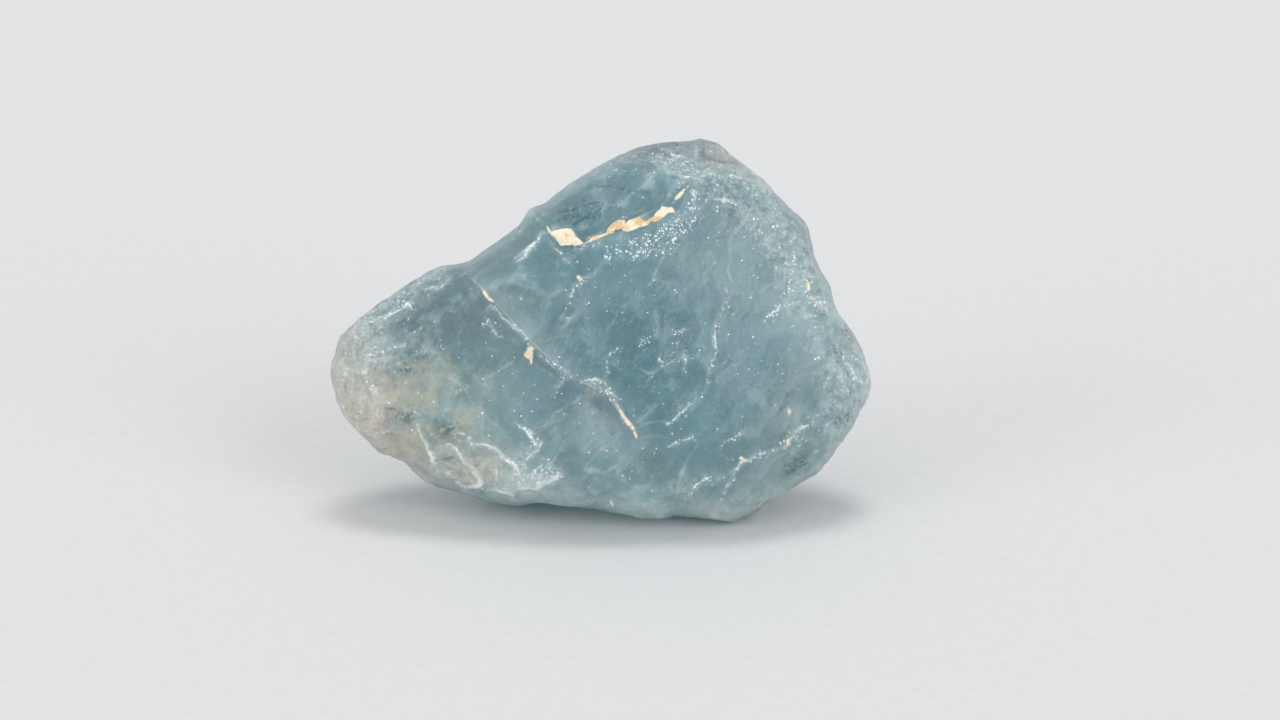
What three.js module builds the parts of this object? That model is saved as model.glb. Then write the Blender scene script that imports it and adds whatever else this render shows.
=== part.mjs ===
// A rough piece of pale blue topaz: one water-worn fragment of a crystal, resting on a flat cleavage
// face. It is one solid. Its broad front face leans back a little from the upright.
//
// The stone is worked out in its own face frame: u runs along it to the right, v runs up along the
// broad face, and w points out of that face. Every point lies on a ray from the origin of that frame,
// and the surface is the distance along each ray. Broad fracture faces, hollows, ledges and chips
// each shorten that distance. All sizes are in millimetres.

import * as THREE from "three";
import { mergeVertices } from "three/addons/utils/BufferGeometryUtils.js";

// Driving dimensions.
const FRONT_DEPTH = 12.2; // from the rim's plane to the bulge of the front, before faces are cut
const BACK_DEPTH = 14.6;
const FRONT_FULLNESS = 2.7; // 2 is an ellipse, and more is boxier
const BACK_FULLNESS = 3.3;
const LEAN_DEG = 17; // how far the broad face leans back
const REST_LEVEL = -16.75; // height of the cleavage face that it rests on, from the face frame's origin
const EDGE_SHARPNESS = 24; // how crisply two fracture faces meet
const RIM_ROUNDING_DEG = 1.6; // the rim's corners are worn round over about this angle

// The grid that the surface is worked out on: cells along, through and up the stone.
const CELLS = { along: 38, through: 20, up: 27 };
const GRID_BOX = { along: 54, through: 27, up: 38 };

// The rim, seen square to the broad face: [u, v] of each corner, anticlockwise from the right end.
const RIM = [
  [26.2, -3.8], [25.8, -2.6], [24.9, 0.3], [24.2, 1.6], [23.1, 2.5], [22.3, 4.1], [21.9, 5.7],
  [20.7, 8.0], [20.1, 9.8], [19.6, 11.8], [19.0, 12.7], [17.9, 13.2], [16.4, 14.5], [14.8, 16.5],
  [13.5, 17.7], [10.7, 20.0], [9.1, 20.4], [4.6, 20.3], [2.9, 19.9], [-0.3, 18.3], [-2.8, 17.1],
  [-5.5, 15.2], [-6.5, 14.2], [-7.8, 13.8], [-9.2, 11.6], [-12.4, 9.6], [-14.0, 8.4], [-15.6, 7.9],
  [-16.7, 8.1], [-18.0, 7.7], [-19.6, 6.6], [-23.8, 3.9], [-27.1, 1.4], [-27.9, 0.1], [-28.2, -3.2],
  [-27.6, -4.4], [-26.3, -7.0], [-25.4, -8.4], [-24.2, -9.5], [-22.9, -10.6], [-20.9, -11.6],
  [-20.1, -12.5], [-18.5, -13.7], [-16.7, -14.4], [-12.6, -15.7], [-10.1, -16.1], [-6.4, -15.8],
  [-4.5, -16.0], [-0.3, -16.7], [2.3, -17.2], [5.2, -17.4], [6.4, -17.1], [11.1, -17.7],
  [12.6, -17.5], [14.5, -17.0], [15.8, -15.6], [17.5, -14.7], [20.1, -13.3], [23.1, -9.9],
  [24.2, -8.1], [24.7, -6.8], [25.8, -5.2],
];

// Broad fracture faces: the way each faces, as [u, v, w], and how far it lies from the origin.
const FACES = {
  front: { faces: [0.05, -0.04, 1.0], at: 10.2 },
  front_right: { faces: [0.3, 0.08, 0.95], at: 12.0 },
  left: { faces: [-0.27, -0.08, 0.96], at: 12.2 },
  left_upper: { faces: [-0.42, 0.55, 0.72], at: 14.6 },
  left_lower: { faces: [-0.3, -0.6, 0.74], at: 15.2 },
  left_tip: { faces: [-0.72, -0.12, 0.68], at: 21.6 },
  top_left: { faces: [-0.3, 0.58, 0.76], at: 15.4 },
  top: { faces: [0.12, 0.66, 0.74], at: 18.0 },
  top_right: { faces: [0.55, 0.42, 0.72], at: 19.0 },
  right: { faces: [0.72, -0.05, 0.69], at: 20.9 },
  right_lower: { faces: [0.5, -0.5, 0.7], at: 18.4 },
  bottom_front: { faces: [0.1, -0.62, 0.78], at: 15.6 },
  back: { faces: [0.08, 0.16, -0.98], at: 12.0 },
  back_left: { faces: [-0.4, 0.1, -0.91], at: 15.4 },
  back_right: { faces: [0.54, -0.06, -0.84], at: 17.6 },
  back_top: { faces: [0.05, 0.7, -0.71], at: 16.4 },
  back_top_right: { faces: [0.55, 0.62, -0.56], at: 19.2 },
  back_top_left: { faces: [-0.5, 0.62, -0.6], at: 16.2 },
  back_low_left: { faces: [-0.58, -0.42, -0.7], at: 18.0 },
  back_low_right: { faces: [0.5, -0.55, -0.67], at: 18.3 },
};

// Shell-shaped hollows left by old breaks: a ball of this radius, centred here, takes the stone away.
const HOLLOWS = {
  above_seam: { centre: [0.6, 19.5, 20.0], radius: 12.1 },
  left_face: { centre: [-13.5, 1.0, 30.6], radius: 22.4 },
  front_low: { centre: [8.0, -15.5, 26.5], radius: 18.6 },
  right_end: { centre: [33.0, 2.5, 14.5], radius: 14.6 },
  left_flank: { centre: [-27.5, 10.5, 12.0], radius: 12.6 },
  back_broad: { centre: [-5.0, 2.0, -44.5], radius: 33.2 },
  back_right_scoop: { centre: [24.0, 8.0, -21.5], radius: 14.2 },
  back_left_scoop: { centre: [-25.0, -2.0, -19.0], radius: 12.8 },
  back_low_scoop: { centre: [6.0, -20.0, -24.5], radius: 14.6 },
};

// Ledges on the front: the ground drops on one side of the line, then comes back over a distance. Each
// takes the lengths in dies_out to reach its full drop from the line's start and from its end.
const LEDGES = {
  crease: {
    line: [[-15.8, 8.1], [-13.3, 6.2], [-11.5, 4.4], [-8.7, 1.2], [-6.4, -1.0], [-3.0, -3.6], [-0.4, -4.7], [2.6, -9.3]],
    drop: 0.6, side: -1, back_over: 9.0, dies_out: [0, 9.0],
  },
  seam: {
    line: [[-6.4, 11.6], [-5.2, 10.0], [-3.2, 9.8], [-1.2, 10.5], [2.6, 11.9], [5.8, 13.4], [7.8, 15.7]],
    drop: 1.1, side: 1, back_over: 6.0, dies_out: [4.5, 4.5],
  },
};
const LEDGE_WALL = 2.2; // width of a ledge's wall, seen square on

// Worn chips all over, set out by a fixed list of random numbers.
const CHIPS = { count: 150, seed: 20, radius: [5.0, 15.0], depthShare: [0.012, 0.045], rimRelief: 0.8 };
const CHIP_SOFTNESS = 0.25; // how far a chip's edge is worn back
const HOLLOW_SOFTNESS = 0.9; // and a hollow's

// Broad swells: [waves per mm along u, v, w, phase, height].
const SWELLS = [
  [0.021, 0.034, 0.012, 0.3, 0.2],
  [-0.043, 0.028, 0.051, 1.9, 0.16],
  [0.063, -0.052, 0.037, 4.2, 0.11],
  [0.031, 0.092, -0.064, 5.1, 0.08],
  [-0.112, 0.067, 0.083, 2.6, 0.06],
];

const TAU = 2 * Math.PI;
const BODY_HALF = [27, 19, 12.5]; // half the body's length, height and thickness

// The same numbers every time, from 0 up to 1.
function numbersFrom(seed) {
  let state = seed >>> 0;
  return () => {
    state = (Math.imul(state, 1664525) + 1013904223) >>> 0;
    return state / 4294967296;
  };
}

// Where the ray at this angle leaves the rim's polygon.
function rimCorner(angle) {
  const [c, s] = [Math.cos(angle), Math.sin(angle)];
  let found = 0;
  RIM.forEach(([u0, v0], i) => {
    const [u1, v1] = RIM[(i + 1) % RIM.length];
    const across0 = v0 * c - u0 * s;
    const across1 = v1 * c - u1 * s;
    if (across0 > 0 || across1 <= 0) return;
    const t = across0 / (across0 - across1);
    found = Math.max(found, (u0 + t * (u1 - u0)) * c + (v0 + t * (v1 - v0)) * s);
  });
  return found;
}

// The rim's distance from the origin at an angle, with its corners worn round.
const RIM_STEPS = 720;
const rimTable = Array.from({ length: RIM_STEPS }, (_, i) => {
  const spread = THREE.MathUtils.degToRad(RIM_ROUNDING_DEG);
  const at = (i * TAU) / RIM_STEPS;
  return (
    (rimCorner(at - spread) + 2 * rimCorner(at - spread / 2) + 3 * rimCorner(at) +
      2 * rimCorner(at + spread / 2) + rimCorner(at + spread)) / 9
  );
});
function rim(angle) {
  const place = ((((angle / TAU) % 1) + 1) % 1) * RIM_STEPS;
  const low = Math.floor(place);
  const part = place - low;
  return rimTable[low % RIM_STEPS] * (1 - part) + rimTable[(low + 1) % RIM_STEPS] * part;
}

const smooth = (t) => {
  const x = Math.min(Math.max(t, 0), 1);
  return x * x * (3 - 2 * x);
};

// The smaller of two distances, with the corner between them rounded over the softness.
function softMin(a, b, softness) {
  const h = Math.max(softness - Math.abs(a - b), 0) / softness;
  return Math.min(a, b) - (h * h * softness) / 4;
}

const faces = Object.values(FACES).map(({ faces: way, at }) => ({
  normal: new THREE.Vector3(...way).normalize(),
  at,
}));

// The body before hollows: a cushion inside the rim, cut by the fracture faces.
function bodyDistance(ray) {
  const spread = Math.hypot(ray.x, ray.y);
  const [depth, fullness] = ray.z > 0 ? [FRONT_DEPTH, FRONT_FULLNESS] : [BACK_DEPTH, BACK_FULLNESS];
  const angle = Math.atan2(ray.y, ray.x);
  const cushion =
    ((spread / rim(angle)) ** fullness + (Math.abs(ray.z) / depth) ** fullness) ** (1 / fullness);
  const sum = faces.reduce(
    (total, { normal, at }) => total + Math.max(normal.dot(ray) / at, 0) ** EDGE_SHARPNESS,
    cushion ** EDGE_SHARPNESS,
  );
  return sum ** (-1 / EDGE_SHARPNESS);
}

// The ray stops where it enters a ball that has been taken away.
function withoutBall(distance, ray, { centre, radius }, softness) {
  const along = centre.dot(ray);
  const room = along * along - centre.lengthSq() + radius * radius;
  if (along <= 0 || room <= 0) return distance;
  return softMin(distance, along - Math.sqrt(room), softness);
}

const hollows = Object.values(HOLLOWS).map(({ centre, radius }) => ({
  centre: new THREE.Vector3(...centre),
  radius,
}));

// The body with its hollows and its swells.
function hollowedDistance(ray) {
  const distance = hollows.reduce(
    (kept, ball) => withoutBall(kept, ray, ball, HOLLOW_SOFTNESS),
    bodyDistance(ray),
  );
  const [u, v, w] = [ray.x * distance, ray.y * distance, ray.z * distance];
  return SWELLS.reduce(
    (kept, [a, b, c, phase, height]) => kept + height * Math.sin(TAU * (a * u + b * v + c * w) + phase),
    distance,
  );
}

// The same, drawn back out to the outline near the rim.
const closenessToRim = (ray) => (1 - ray.z * ray.z) ** 4;
function rimmedDistance(ray) {
  const onRim = new THREE.Vector3(ray.x, ray.y, 0).normalize();
  const outward = rim(Math.atan2(ray.y, ray.x)) / hollowedDistance(onRim) - 1;
  return hollowedDistance(ray) * (1 + closenessToRim(ray) * outward);
}

// Chips: each is a shallow ball cut, seated on the body at a random place.
function makeChips() {
  const next = numbersFrom(CHIPS.seed);
  const between = ([low, high], t) => low + (high - low) * t;
  return Array.from({ length: CHIPS.count }, () => {
    const height = 2 * next() - 1;
    const turn = TAU * next();
    const radius = between(CHIPS.radius, next());
    const share = between(CHIPS.depthShare, next() ** 2);
    const flat = Math.sqrt(1 - height * height);
    const ray = new THREE.Vector3(
      flat * Math.cos(turn) * BODY_HALF[0],
      height * BODY_HALF[1],
      flat * Math.sin(turn) * BODY_HALF[2],
    ).normalize();
    const seat = ray.clone().multiplyScalar(rimmedDistance(ray));
    const out = new THREE.Vector3(
      seat.x / BODY_HALF[0] ** 2,
      seat.y / BODY_HALF[1] ** 2,
      seat.z / BODY_HALF[2] ** 2,
    ).normalize();
    return { centre: seat.addScaledVector(out, radius * (1 - share)), radius };
  });
}
const chips = makeChips();

// How far a point [u, v] lies from a line of points, with its sign: positive on the left of the line.
function signedDistance(u, v, line) {
  let [best, sign] = [Infinity, 1];
  for (let i = 0; i + 1 < line.length; i += 1) {
    const [[u0, v0], [u1, v1]] = [line[i], line[i + 1]];
    const [du, dv] = [u1 - u0, v1 - v0];
    const t = Math.min(Math.max(((u - u0) * du + (v - v0) * dv) / (du * du + dv * dv), 0), 1);
    const [ru, rv] = [u - u0 - t * du, v - v0 - t * dv];
    const away = Math.hypot(ru, rv);
    if (away < best) {
      best = away;
      sign = du * rv - dv * ru >= 0 ? 1 : -1;
    }
  }
  return best * sign;
}

// How far a ledge lowers the front at [u, v]: fully at its wall, and less with distance from it.
function ledgeDrop(u, v, { line, drop, side, back_over, dies_out }) {
  const away = signedDistance(u, v, line) * side;
  const ends = [line[0], line.at(-1)].map(([endU, endV], i) =>
    dies_out[i] ? smooth(Math.hypot(u - endU, v - endV) / dies_out[i]) : 1,
  );
  return drop * smooth(away / LEDGE_WALL) * (1 - smooth(away / back_over)) * ends[0] * ends[1];
}

// The stone's surface along a ray. Chips are shallow at the rim.
function stoneDistance(ray) {
  const whole = rimmedDistance(ray);
  const chipped = chips.reduce((kept, ball) => withoutBall(kept, ray, ball, CHIP_SOFTNESS), whole);
  let distance = whole + (chipped - whole) * (1 - CHIPS.rimRelief * closenessToRim(ray));
  const [u, v] = [ray.x * distance, ray.y * distance];
  const facing = smooth(ray.z / 0.35);
  for (const ledge of Object.values(LEDGES)) distance -= facing * ledgeDrop(u, v, ledge);
  return distance;
}

// Each cell of the grid is split along the diagonal that lies nearer to the stone's surface.
function splitCells(index, place) {
  const corner = (i) => new THREE.Vector3().fromBufferAttribute(place, i);
  for (let i = 0; i < index.count; i += 6) {
    const [a, b, c, d] = [index.getX(i), index.getX(i + 1), index.getX(i + 4), index.getX(i + 2)];
    const rising = corner(a).add(corner(c)).divideScalar(2);
    const falling = corner(b).add(corner(d)).divideScalar(2);
    const surface = rising.clone().add(falling).normalize();
    surface.multiplyScalar(stoneDistance(surface));
    if (rising.distanceTo(surface) < falling.distanceTo(surface)) {
      [a, b, c, a, c, d].forEach((kept, j) => index.setX(i + j, kept));
    }
  }
}

// The welded grid: a box divided into cells, each corner sent out to the stone's surface. The stone
// is then leant back and its foot is cut off level.
function stoneGeometry() {
  const grid = new THREE.BoxGeometry(
    GRID_BOX.along, GRID_BOX.up, GRID_BOX.through,
    CELLS.along, CELLS.up, CELLS.through,
  );
  grid.deleteAttribute("normal");
  grid.deleteAttribute("uv");
  const geometry = mergeVertices(grid, 1e-3);
  const place = geometry.getAttribute("position");
  const point = new THREE.Vector3();
  for (let i = 0; i < place.count; i += 1) {
    point.fromBufferAttribute(place, i).normalize();
    point.multiplyScalar(stoneDistance(point));
    place.setXYZ(i, point.x, point.y, point.z);
  }
  splitCells(geometry.index, place);
  geometry.rotateX(THREE.MathUtils.degToRad(90 - LEAN_DEG));
  for (let i = 0; i < place.count; i += 1) place.setZ(i, Math.max(place.getZ(i), REST_LEVEL));
  return geometry;
}

const geometry = stoneGeometry();
geometry.computeBoundingBox();
const { min, max } = geometry.boundingBox;
geometry.translate(-(min.x + max.x) / 2, -(min.y + max.y) / 2, -min.z);
geometry.computeVertexNormals();

const topaz = new THREE.MeshStandardMaterial({ color: 0x86a4ab, roughness: 0.4, metalness: 0 });
const crystal = new THREE.Mesh(geometry, topaz);
crystal.name = "topaz_crystal";

const stone = new THREE.Group();
stone.add(crystal);

export default stone;
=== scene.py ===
"""A rough topaz crystal: one worn, milky, pale blue stone on a plain floor.

The stone is a surface worked out with numpy. It has its own face frame in millimetres: u runs along it
to the right, v runs up along its broad face, and w points out of that face. The surface is a distance
along each ray from the origin of that frame, and a ray is given by two parameters on each side of a box.
"""

import math
from functools import reduce

import bpy
import numpy as np
from bpy.props import FloatProperty, FloatVectorProperty, PointerProperty
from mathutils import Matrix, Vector


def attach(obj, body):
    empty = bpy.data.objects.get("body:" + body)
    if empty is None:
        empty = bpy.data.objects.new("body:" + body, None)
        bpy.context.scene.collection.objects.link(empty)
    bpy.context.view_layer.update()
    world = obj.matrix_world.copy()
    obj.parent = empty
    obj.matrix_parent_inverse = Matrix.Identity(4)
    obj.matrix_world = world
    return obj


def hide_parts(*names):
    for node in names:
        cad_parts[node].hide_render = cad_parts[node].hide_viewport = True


bl_info = {
    "name": "Topaz Crystal",
    "version": (1, 0, 0),
    "blender": (4, 5, 0),
    "location": "3D View > Sidebar > Topaz",
    "description": "A rough, worn piece of milky pale blue topaz, with its veins, stains and frosted edges",
    "category": "Add Mesh",
}

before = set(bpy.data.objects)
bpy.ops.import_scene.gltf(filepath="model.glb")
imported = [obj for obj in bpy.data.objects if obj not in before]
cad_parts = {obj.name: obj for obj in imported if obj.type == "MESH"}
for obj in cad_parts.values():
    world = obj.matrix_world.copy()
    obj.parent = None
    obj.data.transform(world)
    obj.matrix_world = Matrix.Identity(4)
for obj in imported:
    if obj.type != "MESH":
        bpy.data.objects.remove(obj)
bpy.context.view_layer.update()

NODE = "topaz_crystal"
MM = 0.001
TAU = 2.0 * math.pi
FAR = 9.0  # in millimetres, further than any mark reaches

# ---------------------------------------------------------------- the stone's form, in millimetres

FRONT_DEPTH, BACK_DEPTH = 12.2, 14.6  # from the rim's plane to each bulge
FRONT_FULLNESS, BACK_FULLNESS = 2.7, 3.3  # 2 is an ellipse, and more is boxier
LEAN = math.radians(17.0)  # how far the broad face leans back
REST_LEVEL = -16.75  # height of the cleavage face that it rests on
EDGE_SHARPNESS = 24.0  # how crisply two fracture faces meet
RIM_ROUNDING = math.radians(1.6)  # the rim's corners are worn round over about this angle
RIM_SHARES = ((-1.0, 1), (-0.5, 2), (0.0, 3), (0.5, 2), (1.0, 1))  # turns, and the weight of each
RIM_STEPS = 720  # the rim is worked out at this many angles

# fmt: off
# The rim, seen square to the broad face: corners (u, v), anticlockwise from the right end.
RIM = [
    (26.2, -3.8), (25.8, -2.6), (24.9, 0.3), (24.2, 1.6), (23.1, 2.5), (22.3, 4.1), (21.9, 5.7),
    (20.7, 8.0), (20.1, 9.8), (19.6, 11.8), (19.0, 12.7), (17.9, 13.2), (16.4, 14.5), (14.8, 16.5),
    (13.5, 17.7), (10.7, 20.0), (9.1, 20.4), (4.6, 20.3), (2.9, 19.9), (-0.3, 18.3), (-2.8, 17.1),
    (-5.5, 15.2), (-6.5, 14.2), (-7.8, 13.8), (-9.2, 11.6), (-12.4, 9.6), (-14.0, 8.4), (-15.6, 7.9),
    (-16.7, 8.1), (-18.0, 7.7), (-19.6, 6.6), (-23.8, 3.9), (-27.1, 1.4), (-27.9, 0.1), (-28.2, -3.2),
    (-27.6, -4.4), (-26.3, -7.0), (-25.4, -8.4), (-24.2, -9.5), (-22.9, -10.6), (-20.9, -11.6),
    (-20.1, -12.5), (-18.5, -13.7), (-16.7, -14.4), (-12.6, -15.7), (-10.1, -16.1), (-6.4, -15.8),
    (-4.5, -16.0), (-0.3, -16.7), (2.3, -17.2), (5.2, -17.4), (6.4, -17.1), (11.1, -17.7), (12.6, -17.5),
    (14.5, -17.0), (15.8, -15.6), (17.5, -14.7), (20.1, -13.3), (23.1, -9.9), (24.2, -8.1), (24.7, -6.8),
    (25.8, -5.2),
]

# fmt: on
# Broad fracture faces: the way each faces, and how far it lies from the origin.
FACES = {
    "front": ((0.05, -0.04, 1.0), 10.2),
    "front_right": ((0.3, 0.08, 0.95), 12.0),
    "left": ((-0.27, -0.08, 0.96), 12.2),
    "left_upper": ((-0.42, 0.55, 0.72), 14.6),
    "left_lower": ((-0.3, -0.6, 0.74), 15.2),
    "left_tip": ((-0.72, -0.12, 0.68), 21.6),
    "top_left": ((-0.3, 0.58, 0.76), 15.4),
    "top": ((0.12, 0.66, 0.74), 18.0),
    "top_right": ((0.55, 0.42, 0.72), 19.0),
    "right": ((0.72, -0.05, 0.69), 20.9),
    "right_lower": ((0.5, -0.5, 0.7), 18.4),
    "bottom_front": ((0.1, -0.62, 0.78), 15.6),
    "back": ((0.08, 0.16, -0.98), 12.0),
    "back_left": ((-0.4, 0.1, -0.91), 15.4),
    "back_right": ((0.54, -0.06, -0.84), 17.6),
    "back_top": ((0.05, 0.7, -0.71), 16.4),
    "back_top_right": ((0.55, 0.62, -0.56), 19.2),
    "back_top_left": ((-0.5, 0.62, -0.6), 16.2),
    "back_low_left": ((-0.58, -0.42, -0.7), 18.0),
    "back_low_right": ((0.5, -0.55, -0.67), 18.3),
}

# Shell-shaped hollows: a ball at this centre, of this radius, takes the stone away.
HOLLOWS = {
    "above_seam": ((0.6, 19.5, 20.0), 12.1),
    "left_face": ((-13.5, 1.0, 30.6), 22.4),
    "front_low": ((8.0, -15.5, 26.5), 18.6),
    "right_end": ((33.0, 2.5, 14.5), 14.6),
    "left_flank": ((-27.5, 10.5, 12.0), 12.6),
    "back_broad": ((-5.0, 2.0, -44.5), 33.2),
    "back_right_scoop": ((24.0, 8.0, -21.5), 14.2),
    "back_left_scoop": ((-25.0, -2.0, -19.0), 12.8),
    "back_low_scoop": ((6.0, -20.0, -24.5), 14.6),
}
HOLLOW_SOFTNESS = 0.9

# Ledges on the front: the line, the drop, the side that drops, how far the drop takes to come back, and
# how far it takes to reach its full depth from the line's start and from its end.
CREASE = [
    (-15.8, 8.1), (-13.3, 6.2), (-11.5, 4.4), (-8.7, 1.2), (-6.4, -1.0), (-3.0, -3.6), (-0.4, -4.7),
    (2.6, -9.3),
]  # fmt: skip
SEAM = [(-6.4, 11.6), (-5.2, 10.0), (-3.2, 9.8), (-1.2, 10.5), (2.6, 11.9), (5.8, 13.4), (7.8, 15.7)]
LEDGES = {
    "crease": (CREASE, 0.6, -1.0, 9.0, 0.0, 9.0),
    "seam": (SEAM, 1.1, 1.0, 6.0, 4.5, 4.5),
}
LEDGE_WALL = 1.8  # width of a ledge's wall
FACING = 0.35  # ledges have their full depth where a ray points this far out of the face

# Worn chips, set out by a fixed list of random numbers.
CHIP_COUNT, CHIP_SEED = 150, 20
CHIP_RADIUS, CHIP_DEPTH_SHARE = (5.0, 15.0), (0.012, 0.045)
CHIP_SOFTNESS, CHIP_RIM_RELIEF = 0.2, 0.8
BODY_HALF = np.array([27.0, 19.0, 12.5])

# Broad swells: waves per mm along u, v and w, then phase and height.
SWELLS = [
    (0.021, 0.034, 0.012, 0.3, 0.2),
    (-0.043, 0.028, 0.051, 1.9, 0.16),
    (0.063, -0.052, 0.037, 4.2, 0.11),
    (0.031, 0.092, -0.064, 5.1, 0.08),
    (-0.112, 0.067, 0.083, 2.6, 0.06),
]

CELLS = (196, 138, 62)  # grid cells along u, v and w
GRID_BOX = np.array([54.0, 38.0, 27.0])

# Fine relief. Each row: a noise's height, size, seed and octaves, and for pits the value that the noise
# has where a pit starts, and how much more it takes to reach the full depth.
UNDULATION, RIPPLES = (0.05, 3.2, 11, 3), (0.035, 0.8, 21, 3)
FROST_LUMPS, BEAD_LUMPS = (0.06, 0.8, 15, 1), (0.1, 0.75, 51, 2)
FROST_PITS, LONE_PITS = (0.06, 1.1, 31, 2, 0.15, 0.5), (0.06, 1.6, 41, 1, 0.45, 0.3)
FLECK_PITS = (0.1, 0.9, 61, 2, 0.0, 0.5)
RIPPLE_WAY = np.array([[0.62, 0.78, 0.0], [-0.78, 0.62, 0.0], [0.0, 0.0, 1.0]])  # along, across and out
RIPPLE_STRETCH = (5.0, 1.0, 2.0)
DENTS = ((0.03, 0.13, 3.4, 12), (0.008, 0.07, 1.4, 13))  # the height, how much more on frost, size, seed
DENT_BEND = (0.5, 2.6, (101, 111, 121))  # reach, size and seeds of what bends them
GROOVE_DEPTH, GROOVE_REACH = 0.22, 0.4  # the open seam

# A crust stands proud and a crack is sunk: how far, over how wide an edge, and how far across that edge
# its outline lies.
CRUST_THICKNESS, CRUST_EDGE, CRUST_START = 0.16, 0.25, 0.6
CRACK_DEPTH, CRACK_EDGE, CRACK_START = 0.06, 0.15, 0.9

# An edge frosts where it stands this far out of its surroundings, smoothed by so many passes, and the
# tips of the relief are worn in the same way.
EDGE_PASSES, EDGE_FROM, EDGE_OVER = 60, 0.14, 0.4
WEAR_PASSES, WEAR_OVER = 8, 0.06

# ------------------------------------------------- marks on the front, in millimetres: (u, v, half width)

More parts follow.
